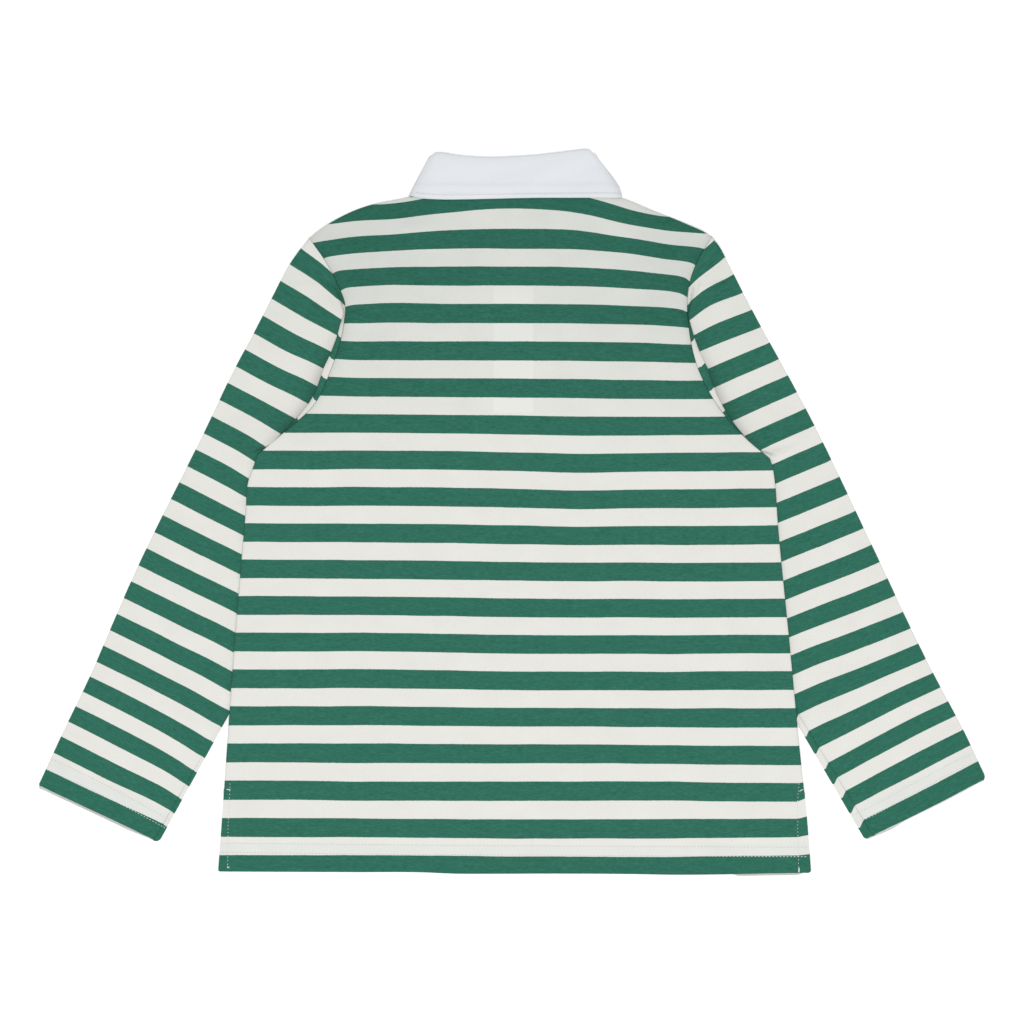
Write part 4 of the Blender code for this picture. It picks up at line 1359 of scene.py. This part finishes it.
def sleeve_map(side, stripes, crescent, points):
    """Map of a sleeve.  The crescent beside the seam has its own places for the stripes.

    Beyond the underarm seam they hang lower by a share of the distance from the seam, and
    the end of the lower sheet shows the off-white inside of the hem.
    """
    count = sleeve_count(stripes, points[..., 0], points[..., 1])
    y = points[:CAP_ROWS, :SHOWN, 1]
    share = np.clip(np.arange(SHOWN) / CRESCENT_STEPS, 0.0, CRESCENT_PAST) ** CRESCENT_POWER
    at_seam = curve(-crescent[:, 1], crescent[:, 0], -y)
    at_fold = curve(-crescent[:, 2], crescent[:, 0], -y)
    coming_in = ease((CAP_DROPS - CRESCENT_START) / CRESCENT_FADE)
    pleated = (coming_in * (CAP_DROPS < CRESCENT_END))[:, None]
    plain_count = count[:CAP_ROWS, :SHOWN]
    count[:CAP_ROWS, :SHOWN] = mix(plain_count, mix(at_seam, at_fold, share), pleated)
    inner = points[CAP_ROWS:, INNER_COLUMN:INNER_COLUMN + 1, :2]
    from_inner = np.linalg.norm(points[CAP_ROWS:, :, :2] - inner, axis=2)
    past = seam_distance(side, inner[..., 1]) - from_inner
    past[:, :INNER_COLUMN - FOLD_STEPS] = 0.0
    count[CAP_ROWS:] -= UNDERARM[side.name][2] * np.maximum(past, 0.0) / REPEAT
    under = points[..., 2] < middle_level()
    count += INSIDE_SHIFT * under * ease(2.0 - cuff_distance(points) / INSIDE_LENGTH)
    return np.stack((across_map(points), count), axis=2)


def sleeve_shade(side, points):
    """Shadow beside the pleat's fold: exp(-distance / 4 mm), and in the underarm groove."""
    shade = np.zeros(points.shape[:2])
    top = points[:, TOP_START:TOP_END]
    distance = np.linalg.norm(top - top[:, :1], axis=2)
    rows = np.concatenate((np.interp(CAP_DROPS, FOLD_SHADE[:, 0], FOLD_SHADE[:, 1]),
                           np.zeros(len(points) - CAP_ROWS)))
    shade[:, TOP_START:TOP_END] = rows[:, None] * np.exp(-distance / FOLD_SHADE_REACH)
    shade[:CAP_ROWS, CRESCENT_STEPS - 1:SHOWN] = CRESCENT_SHADE * rows[:CAP_ROWS, None]
    groove = INNER_COLUMN + len(RETURN_PLACES) + 2
    shown = seam_shown(seam_distance(side, points[:, groove, 1]))
    shown[:CAP_ROWS] = 0.0
    shade[:, groove] = GROOVE_SHADE * shown
    return shade


print(f"a sleeve's row has {INNER_COLUMN + len(RETURN_PLACES) + 3 + RETURN_STEPS + 1} points")

# %% Both sleeves
sleeve_grids = {}


def sleeve_cloth(name, side, stripes, crescent):
    """Sleeve from its grid, which closes into a tube below the armpit."""
    points = sleeve(side)
    sleeve_grids[side.name] = points
    cut_map = sleeve_map(side, stripes, crescent, points)
    print(f"{side.name} sleeve grid {points.shape}, "
          f"{cut_map[CAP_ROWS, -1, 0]:.3f} m round the arm, {cut_map[-1, -1, 0]:.3f} m round the cuff")
    piece = cloth(name, points, cut_map, sleeve_jersey, closed_from=CAP_ROWS,
                  shade=sleeve_shade(side, points))
    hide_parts("sleeve_" + side.name)
    report(piece)
    return piece


left_sleeve = sleeve_cloth("sleeve_cloth_left", LEFT, LEFT_STRIPES, LEFT_CRESCENT)
right_sleeve = sleeve_cloth("sleeve_cloth_right", RIGHT, RIGHT_STRIPES, RIGHT_CRESCENT)

# %% [markdown]
# ## Collar
# The collar is one long band of twill, sewn to the neck and folded over.  Its stand lies
# between the panels and its fall shows on the back.  Round each side of the neck it turns
# under and runs to the front, where its two leaves lie face down.  Its two sides were pressed
# by hand and differ, so each has its own table.

# %% Collar tables
# Share of the way from the middle of the back to the side, then X out from the middle and Y
# of the seam, of the fold and of the fall's edge
COLLAR_LEFT = np.array([
    (0.00, 0.0, 222.0, 0.0, 248.5, 0.0, 219.4),
    (0.25, 16.0, 222.1, 14.0, 247.9, 17.5, 219.0),
    (0.50, 34.0, 222.4, 30.0, 248.3, 36.0, 218.6),
    (0.75, 50.0, 222.8, 44.0, 249.6, 55.5, 218.6),
    (0.88, 56.5, 223.0, 53.2, 251.0, 66.0, 219.2),
    (0.95, 59.5, 223.1, 58.0, 250.8, 71.2, 220.0),
    (1.00, 61.0, 223.2, 60.3, 248.9, 74.4, 220.9),
])
COLLAR_RIGHT = np.array([
    (0.00, 0.0, 222.0, 0.0, 248.5, 0.0, 219.4),
    (0.25, 16.0, 222.1, 14.1, 249.3, 18.0, 219.7),
    (0.50, 34.0, 222.4, 29.5, 251.0, 38.0, 219.7),
    (0.75, 50.0, 222.8, 43.5, 252.6, 57.0, 219.7),
    (0.88, 56.0, 223.0, 50.2, 253.4, 66.0, 219.6),
    (0.95, 59.5, 223.1, 54.1, 253.0, 71.0, 219.6),
    (1.00, 62.0, 223.2, 56.8, 250.7, 75.0, 219.6),
])
# The same for the part that lies on the front, from the side to the placket
COLLAR_FRONT = np.array([
    (0.0, 63.0, 223.2, 56.8, 250.2, 74.4, 221.4),
    (0.5, 49.0, 196.5, 43.0, 211.0, 66.0, 176.0),
    (1.0, 3.5, 173.6, 3.0, 182.5, 40.0, 134.0),
])
COLLAR_BULGE = (0.3, 2.8)

# Sections along each part and round each turn, and how far the fold drops at the turn
COLLAR_STEPS = 36
COLLAR_CROWD = 1.3
COLLAR_TURN_STEPS = 10
COLLAR_TURN_DROP = 1.5

# Points down a section
STAND_STEPS = 6
COLLAR_FOLD_STEPS = 10
FALL_STEPS = 20

# The stand under the fall lifts it below this height, with a slope of that many millimetres
STAND_RIDGE = 0.45
STAND_RIDGE_Y = 232.0
STAND_RIDGE_SLOPE = 5.0
print(f"the collar's fold is {COLLAR_LEFT[-1, 3] + COLLAR_RIGHT[-1, 3]:.0f} mm across")

# %% Collar grid


def collar_profile(seam, fold, edge, normal, base, bulge):
    """One section of the collar: stand from seam to fold, round the fold, fall to its edge.

    bulge moves the fall outwards by bulge * 27 / 4 * s^2 * (1 - s) at a share s of its way
    down, which is the bulge itself at two thirds.
    """
    rise = unit(fold - seam)
    bend = fold - rise * FOLD
    angles = np.linspace(-math.pi / 2.0, math.pi / 2.0, COLLAR_FOLD_STEPS + 1)
    stand = mix(seam, bend, np.linspace(0.0, 1.0, STAND_STEPS + 1)[:-1, None])
    round_fold = bend + np.outer(FOLD * np.cos(angles), rise)
    down = np.linspace(0.0, 1.0, FALL_STEPS + 1)[1:, None]
    fall = mix(bend, edge, down)
    fall[:, 0:1] += bulge * (27.0 / 4.0) * down ** 2 * (1.0 - down)
    plan = np.concatenate((stand, round_fold, fall))
    offset = np.concatenate((
        np.full(STAND_STEPS, -FOLD), FOLD * np.sin(angles), np.full(FALL_STEPS, FOLD)))
    points = np.column_stack((plan, np.zeros(len(plan))))
    return points + base + offset[:, None] * normal


def collar():
    """Mid-surface of the collar: sections from one front end round the neck to the other."""
    front_base = level(0) + FOLD
    back_base = level(2) + FOLD
    turn_radius = (back_base - front_base) / 2.0
    turn_level = (back_base + front_base) / 2.0
    side_inset = turn_radius + FOLD + WALL / 2.0
    shares = 1.0 - np.linspace(0.0, 1.0, COLLAR_STEPS + 1) ** COLLAR_CROWD
    turns = np.linspace(-math.pi / 2.0, math.pi / 2.0, COLLAR_TURN_STEPS + 1)
    sections = []
    sides = zip((-1.0, 1.0), (COLLAR_LEFT, COLLAR_RIGHT), COLLAR_BULGE)
    for sign, back_table, bulge in sides:
        front_table = COLLAR_FRONT.copy()
        front_table[0, 1:] = back_table[-1, 1:]
        half = [(front_table, share, turns[0]) for share in shares[:-1]]
        half += [(back_table, 1.0, angle) for angle in turns[:-1]]
        half += [(back_table, share, turns[-1]) for share in shares]
        order = half if sign < 0.0 else half[-2::-1]
        for table, share, angle in order:
            pairs = np.array([float(column(table, number, share)) for number in range(1, 7)])
            near_side = share if table is back_table else 1.0 - share
            pairs = pairs.reshape(3, 2) - (side_inset * near_side, 0.0)
            fall = pairs[2] - pairs[1]
            drop = COLLAR_TURN_DROP * (1.0 - abs(math.sin(angle)))
            pairs[1] += drop * fall / np.hypot(*fall)
            pairs[:, 0] = NECK_X + sign * pairs[:, 0]
            normal = np.array((sign * math.cos(angle), 0.0, math.sin(angle)))
            base = turn_radius * normal + (0.0, 0.0, turn_level)
            out = sign * bulge * ease(near_side * 2.0 - 1.0)
            sections.append(collar_profile(*pairs, normal, base, out))
    points = np.array(sections)
    fall = np.arange(points.shape[1]) > STAND_STEPS + COLLAR_FOLD_STEPS
    on_back = ease((points[..., 2] - level(2)) / PITCH)
    low = ease((STAND_RIDGE_Y - points[..., 1]) / STAND_RIDGE_SLOPE)
    points[..., 2] += STAND_RIDGE * on_back * low * fall
    return points


# %% Collar
# Painted shade of the fall: strength and reach at its sides and its fold, then height, half
# width and strength of the painted shade along the pressed crease and along the line above
# the edge's stitches
SIDE_SHADE = (0.26, 3.0)
FOLD_LINE_SHADE = (0.18, 2.0)
COLLAR_CREASE_SHADES = ((229.0, 1.0, 0.07), (222.6, 0.5, 0.16))

# The fall's sides run out by this much for each millimetre down from their top
FALL_TOP = (60.3, 248.5)
FALL_SPREAD = 0.5


def collar_shade(points):
    """Faint shading of the fall: strength * exp(-distance / reach) from its sides and fold.

    A crease's painted shade adds strength * exp(-(distance / half width)^2).
    """
    y = points[..., 1]
    from_side = FALL_TOP[0] + (FALL_TOP[1] - y) * FALL_SPREAD - np.abs(points[..., 0] - NECK_X)
    from_fold = points[:, STAND_STEPS + COLLAR_FOLD_STEPS // 2, 1][:, None] - y
    shade = 0.0
    for distance, (strength, reach) in ((from_side, SIDE_SHADE), (from_fold, FOLD_LINE_SHADE)):
        shade = shade + strength * np.exp(-np.maximum(distance, 0.0) / reach)
    for height, half_width, strength in COLLAR_CREASE_SHADES:
        shade = shade + strength * np.exp(-((y - height) / half_width) ** 2)
    return shade


collar_points = collar()
collar_across = across_map(collar_points)
collar_along = across_map(collar_points.transpose(1, 0, 2)).T
collar_map = np.stack((collar_along, collar_across), axis=2)
collar_piece = cloth("collar_cloth", collar_points, collar_map, collar_twill,
                     shade=collar_shade(collar_points))
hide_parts("collar")
report(collar_piece)

# %% [markdown]
# ## Placket
# Two bands of white twill fill the front's slit, one on the other.  They face the floor.

# %% Placket bands
BAND_ROWS = 40
BAND_COLUMNS = 10


def band(mid_level):
    """Mid-surface of a placket band."""
    x = PLACKET_X + (PLACKET_WIDTH / 2.0 - GAP) * np.linspace(-1.0, 1.0, BAND_COLUMNS + 1)
    y = np.linspace(FRONT_NECK_Y - GAP, placket_bottom + GAP, BAND_ROWS + 1)
    rows, columns = np.meshgrid(y, x, indexing="ij")
    return np.stack((columns, rows, np.full(rows.shape, mid_level)), axis=2)


band_points = {}
for name, height in (("placket_upper", UPPER_BAND_LEVEL), ("placket_under", UNDER_BAND_LEVEL)):
    points = band(height)
    band_points[name] = points
    piece = cloth(name + "_cloth", points, points[..., :2] * MM, placket_twill)
    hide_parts(name)
    report(piece)

# %% Buttons keep their solids and get a rubber finish
for number in range(1, len(BUTTON_YS) + 1):
    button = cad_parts[f"button_{number}"]
    button.data.materials.clear()
    button.data.materials.append(rubber)
print("buttons in rubber:", len(BUTTON_YS))

# %% [markdown]
# ## Stitching
# White thread shows as short raised stitches: a twin row above each hem, a single row beside
# each vent and along the collar's edge.  A stitch is a small tube with pinched ends.  It is
# placed on a cloth's own grid of points, so it follows every rise of the cloth.

# %% Kinds of stitches
# Distance from one stitch to the next, its length and its half width
Stitch = namedtuple("Stitch", "spacing length half_width")
HEM_STITCH = Stitch(2.5, 1.5, 0.28)
VENT_STITCH = Stitch(2.45, 1.0, 0.21)
TACK = Stitch(3.0, 3.0, 0.42)
CORNER_TACK = Stitch(4.0, 4.0, 0.6)
CUFF_STITCH = Stitch(2.3, 1.3, 0.24)
COLLAR_STITCH = Stitch(2.3, 1.7, 0.26)
PLACKET_STITCH = Stitch(2.4, 1.7, 0.26)
BUTTONHOLE_END = Stitch(2.4, 2.4, 0.45)
THREAD_LIFT = 0.02
print(f"{1000.0 / HEM_STITCH.spacing:.0f} hem stitches in a metre")

# %% Stitches along a line on a grid


def on_grid(points, row, col):
    """Points of a grid at fractional rows and columns, straight between the four nearest."""
    r = np.clip(np.floor(row).astype(int), 0, points.shape[0] - 2)
    c = np.clip(np.floor(col).astype(int), 0, points.shape[1] - 2)
    down, across = (row - r)[:, None], (col - c)[:, None]
    return mix(mix(points[r, c], points[r, c + 1], across),
               mix(points[r + 1, c], points[r + 1, c + 1], across), down)


def stitches(points, row, col, face, kind):
    """Stitches along a line of grid places: both ends, the way up and the half width.

    face is 1 or -1, for the side of the cloth where the thread lies.
    """
    line = on_grid(points, row, col)
    reach = np.concatenate(((0.0,), np.cumsum(np.linalg.norm(np.diff(line, axis=0), axis=1))))
    middles = np.arange(kind.spacing / 2.0, reach[-1], kind.spacing)
    ends = []
    for at in (middles - kind.length / 2.0, middles + kind.length / 2.0):
        ends.append(on_grid(points, np.interp(at, reach, row), np.interp(at, reach, col)))
    r, c = np.interp(middles, reach, row), np.interp(middles, reach, col)
    down = on_grid(points, r + 0.5, c) - on_grid(points, r - 0.5, c)
    across = on_grid(points, r, c + 0.5) - on_grid(points, r, c - 0.5)
    normal = face * np.cross(down, across)
    normal /= np.linalg.norm(normal, axis=1)[:, None]
    lift = normal * (WALL / 2.0 + THREAD_LIFT)
    return ends[0] + lift, ends[1] + lift, normal, np.full(len(middles), kind.half_width)


# %% One mesh of many stitches
# Places of the rings along half a stitch, their widths, points in a ring, and as shares of
# the half width the tube's height and how far it bows up
TUBE_ALONG = np.array((-1.0, -0.55, 0.55, 1.0))
TUBE_WIDE = np.array((0.45, 1.0, 1.0, 0.45))
TUBE_SIDES = 5
TUBE_HIGH = 0.6
TUBE_BOW = 0.3


def thread_piece(name, runs):
    """One mesh of many stitches: rings of five points along each, pinched at both ends."""
    start, end, normal, width = (np.concatenate(part) for part in zip(*runs))
    along = (end - start) / 2.0
    middle = (start + end) / 2.0
    side = np.cross(normal, along / np.linalg.norm(along, axis=1)[:, None])
    angle = 2.0 * math.pi * np.arange(TUBE_SIDES) / TUBE_SIDES
    wide = (width[:, None, None] * TUBE_WIDE[None, :, None] * np.cos(angle))[..., None]
    high = (TUBE_HIGH * width[:, None, None] * TUBE_WIDE[None, :, None] * np.sin(angle))[..., None]
    bow = (TUBE_BOW * width[:, None, None] * (1.0 - TUBE_ALONG ** 2)[None, :, None])[..., None]
    centre = middle[:, None, :] + along[:, None, :] * TUBE_ALONG[None, :, None]
    points = (centre[:, :, None, :] + side[:, None, None, :] * wide
              + normal[:, None, None, :] * (high + bow))
    base = np.arange(len(width))[:, None] * (len(TUBE_ALONG) * TUBE_SIDES)
    ring, spoke = np.meshgrid(np.arange(len(TUBE_ALONG) - 1), np.arange(TUBE_SIDES), indexing="ij")
    ring, spoke = ring.ravel(), spoke.ravel()
    following = (spoke + 1) % TUBE_SIDES
    quads = np.stack((ring * TUBE_SIDES + spoke, ring * TUBE_SIDES + following,
                      (ring + 1) * TUBE_SIDES + following, (ring + 1) * TUBE_SIDES + spoke), axis=1)
    quads = (base[:, :, None] + quads[None]).reshape(-1, 4)
    caps = np.concatenate((base + np.arange(TUBE_SIDES)[::-1],
                           base + (len(TUBE_ALONG) - 1) * TUBE_SIDES + np.arange(TUBE_SIDES)))
    mesh = bpy.data.meshes.new(name)
    mesh.from_pydata((points.reshape(-1, 3) * MM).tolist(), [], quads.tolist() + caps.tolist())
    mesh.polygons.foreach_set("use_smooth", np.ones(len(mesh.polygons), bool))
    new_piece(name, mesh, thread)
    print(f"{name}: {len(width)} stitches")


# %% Hems, vents and tacks
PATH_STEPS = 24


def panel_places(points, path):
    """Grid places of the points of a path drawn on the floor plan of a panel."""
    path = np.asarray(path, float)
    steps = np.linspace(0.0, len(path) - 1.0, PATH_STEPS * (len(path) - 1) + 1)
    xs = np.interp(steps, np.arange(len(path)), path[:, 0])
    ys = np.interp(steps, np.arange(len(path)), path[:, 1])
    row_numbers, column_numbers = np.arange(points.shape[0]), np.arange(points.shape[1])
    rows, cols = [], []
    for x, y in zip(xs, ys):
        heights = np.array([np.interp(x, row[:, 0], row[:, 1]) for row in points])
        rows.append(np.interp(-y, -heights, row_numbers))
        cols.append(np.interp(x, points[int(round(rows[-1])), :, 0], column_numbers))
    return np.array(rows), np.array(cols)


HEM_UPPER = ((-203.4, -231.7), (-64.0, -233.2), (62.0, -233.9), (206.5, -234.6))
HEM_LOWER = ((-203.6, -238.0), (-110.0, -239.2), (-64.0, -239.7), (62.0, -240.3), (206.8, -241.1))
LEFT_VENT = ((-197.2, -189.0), (-198.6, -220.0), (-199.0, -251.0))
RIGHT_VENT = ((200.9, -189.0), (199.6, -204.0), (200.2, -236.0), (200.6, -252.0))
TACKS = (((-199.6, -193.8), (-196.4, -194.4)), ((200.8, -195.4), (203.6, -193.9)),
         ((-199.4, -248.0), (-197.6, -248.9)))
RIGHT_CORNER_TACK = ((200.8, -248.6), (200.6, -252.6))

body_lines = [(path, HEM_STITCH) for path in (HEM_UPPER, HEM_LOWER)]
body_lines += [(path, VENT_STITCH) for path in (LEFT_VENT, RIGHT_VENT)]
body_lines += [(path, TACK) for path in TACKS]
body_runs = []
for points, face in ((back_points, 1.0), (front_points, -1.0)):
    for path, kind in body_lines:
        body_runs.append(stitches(points, *panel_places(points, path), face, kind))
corner = panel_places(back_points, RIGHT_CORNER_TACK)
body_runs.append(stitches(back_points, *corner, 1.0, CORNER_TACK))
thread_piece("body_stitching", body_runs)

# %% Stitching of the cuffs
# Distance of each row of stitches from the cuff's end, at the outer and at the inner fold
CUFF_ROWS = {"left": ((12.8, 12.8), (21.0, 19.0)), "right": ((16.4, 13.8), (22.2, 20.0))}

cuff_runs = []
for side in (LEFT, RIGHT):
    points = sleeve_grids[side.name]
    columns = np.arange(points.shape[1], dtype=float)
    distance = cuff_distance(points)
    outer = sleeve_outer(side, side.cuff_y)
    width = np.hypot(*(side.cuff_inner - outer))
    across = np.linalg.norm(points[-1, :, :2] - outer, axis=1) / width
    for at_outer, at_inner in CUFF_ROWS[side.name]:
        depth = mix(at_outer, at_inner, across)
        rows = np.array([np.interp(-depth[c], -distance[:, c], np.arange(len(points)))
                         for c in range(points.shape[1])])
        cuff_runs.append(stitches(points, rows, columns, side.sign, CUFF_STITCH))
thread_piece("cuff_stitching", cuff_runs)

# %% Stitching of the collar
# Along its edge, a little in from it, and down both front ends, two sections in from them.
# The fall counts as 30 mm long everywhere.
EDGE_STITCHES_IN = 3.1
FALL_LENGTH = 30.0
END_SECTION = 2.0
END_STEPS = 20

last_section, last_column = collar_points.shape[0] - 1.0, collar_points.shape[1] - 1.0
edge_column = last_column - EDGE_STITCHES_IN / (FALL_LENGTH / FALL_STEPS)
sections = np.arange(END_SECTION, last_section + 1.0 - END_SECTION)
edge_columns = np.full(len(sections), edge_column)
collar_runs = [stitches(collar_points, sections, edge_columns, -1.0, COLLAR_STITCH)]
end_columns = np.linspace(STAND_STEPS + COLLAR_FOLD_STEPS + 1.0, edge_column, END_STEPS)
for end in (END_SECTION, last_section - END_SECTION):
    end_sections = np.full(END_STEPS, end)
    collar_runs.append(stitches(collar_points, end_sections, end_columns, -1.0, COLLAR_STITCH))
thread_piece("collar_stitching", collar_runs)

# %% Stitching of the placket
# Grid places of the lines down both sides and across the foot, and a buttonhole's half
# length and the half length of the bar at each of its ends
BAND_SIDE_IN = 0.6
BAND_ENDS_IN = 0.5
BAND_FOOT_ROWS = (0.8, 2.6)
SIDE_STEPS = 60
FOOT_STEPS = 20
BUTTONHOLE_HALF = 7.2
BAR_HALF = 1.2

upper_band = band_points["placket_upper"]
side_rows = np.linspace(BAND_ENDS_IN, BAND_ROWS - BAND_ENDS_IN, SIDE_STEPS)
foot_columns = np.linspace(BAND_SIDE_IN, BAND_COLUMNS - BAND_SIDE_IN, FOOT_STEPS)
band_lines = [(side_rows, np.full(SIDE_STEPS, at)) for at in (foot_columns[0], foot_columns[-1])]
band_lines += [(np.full(FOOT_STEPS, BAND_ROWS - at), foot_columns) for at in BAND_FOOT_ROWS]
band_runs = [stitches(upper_band, *line, -1.0, PLACKET_STITCH) for line in band_lines]
for button_y in BUTTON_YS:
    for y in (button_y - BUTTONHOLE_HALF, button_y + BUTTONHOLE_HALF):
        bar = ((PLACKET_X - BAR_HALF, y), (PLACKET_X + BAR_HALF, y))
        band_runs.append(stitches(upper_band, *panel_places(upper_band, bar), -1.0, BUTTONHOLE_END))
thread_piece("placket_stitching", band_runs)

# %% [markdown]
# ## Floor, light and camera
# A pale floor, a soft light overhead and a bright even sky around it.  The camera looks
# straight down through a long lens, so nothing leans.

# %% Floor
# Metres; the floor lies just under the threads of the front, and glows a little
FLOOR_HALF = 3.0
FLOOR_Z = -0.00035
FLOOR_GLOW = 0.22
WHITE = (1.0, 1.0, 1.0, 1.0)

floor_mesh = bpy.data.meshes.new("floor")
corners = ((-1.0, -1.0), (1.0, -1.0), (1.0, 1.0), (-1.0, 1.0))
floor_mesh.from_pydata([(x * FLOOR_HALF, y * FLOOR_HALF, FLOOR_Z) for x, y in corners],
                       [], [(0, 1, 2, 3)])
floor = in_scene("floor", floor_mesh)
floor_graph = Graph("pale_floor")
floor_graph.feed(floor_graph.shader.inputs["Emission Color"], WHITE)
floor_graph.feed(floor_graph.shader.inputs["Emission Strength"], FLOOR_GLOW)
floor_mesh.materials.append(floor_graph.finish((0.985, 0.985, 0.985, 1.0), 0.95))
print(f"the floor is {2.0 * FLOOR_HALF:.0f} m wide")

# %% Light
# Strength of the sky, then the soft light's place and side in metres, its tilt and its watts
SKY_STRENGTH = 0.62
LIGHT_PLACE = (0.0, -0.50, 2.6)
LIGHT_SIDE = 1.1
LIGHT_TILT = math.radians(-10.0)
LIGHT_POWER = 35.6

world = bpy.data.worlds.new("studio")
world.use_nodes = True
world.node_tree.nodes["Background"].inputs["Color"].default_value = WHITE
world.node_tree.nodes["Background"].inputs["Strength"].default_value = SKY_STRENGTH
bpy.context.scene.world = world
light_data = bpy.data.lights.new("overhead", "AREA")
light_data.shape = "SQUARE"
light_data.size = LIGHT_SIDE
light_data.energy = LIGHT_POWER
light = in_scene("overhead", light_data)
light.location = LIGHT_PLACE
light.rotation_euler = (LIGHT_TILT, 0.0, 0.0)
print(f"one light of {LIGHT_POWER} W")

# %% Camera
PICTURE_WIDTH = 0.7168
CAMERA_HEIGHT = 4.0
camera_data = bpy.data.cameras.new("camera")
camera_data.sensor_width = 36.0
camera_data.lens = camera_data.sensor_width * CAMERA_HEIGHT / PICTURE_WIDTH
camera_data.clip_end = 20.0
camera = in_scene("camera", camera_data)
camera.location = (0.0, 0.0, CAMERA_HEIGHT)
bpy.context.scene.camera = camera
bpy.context.scene.view_settings.view_transform = "Standard"
print(f"lens {camera_data.lens:.0f} mm")
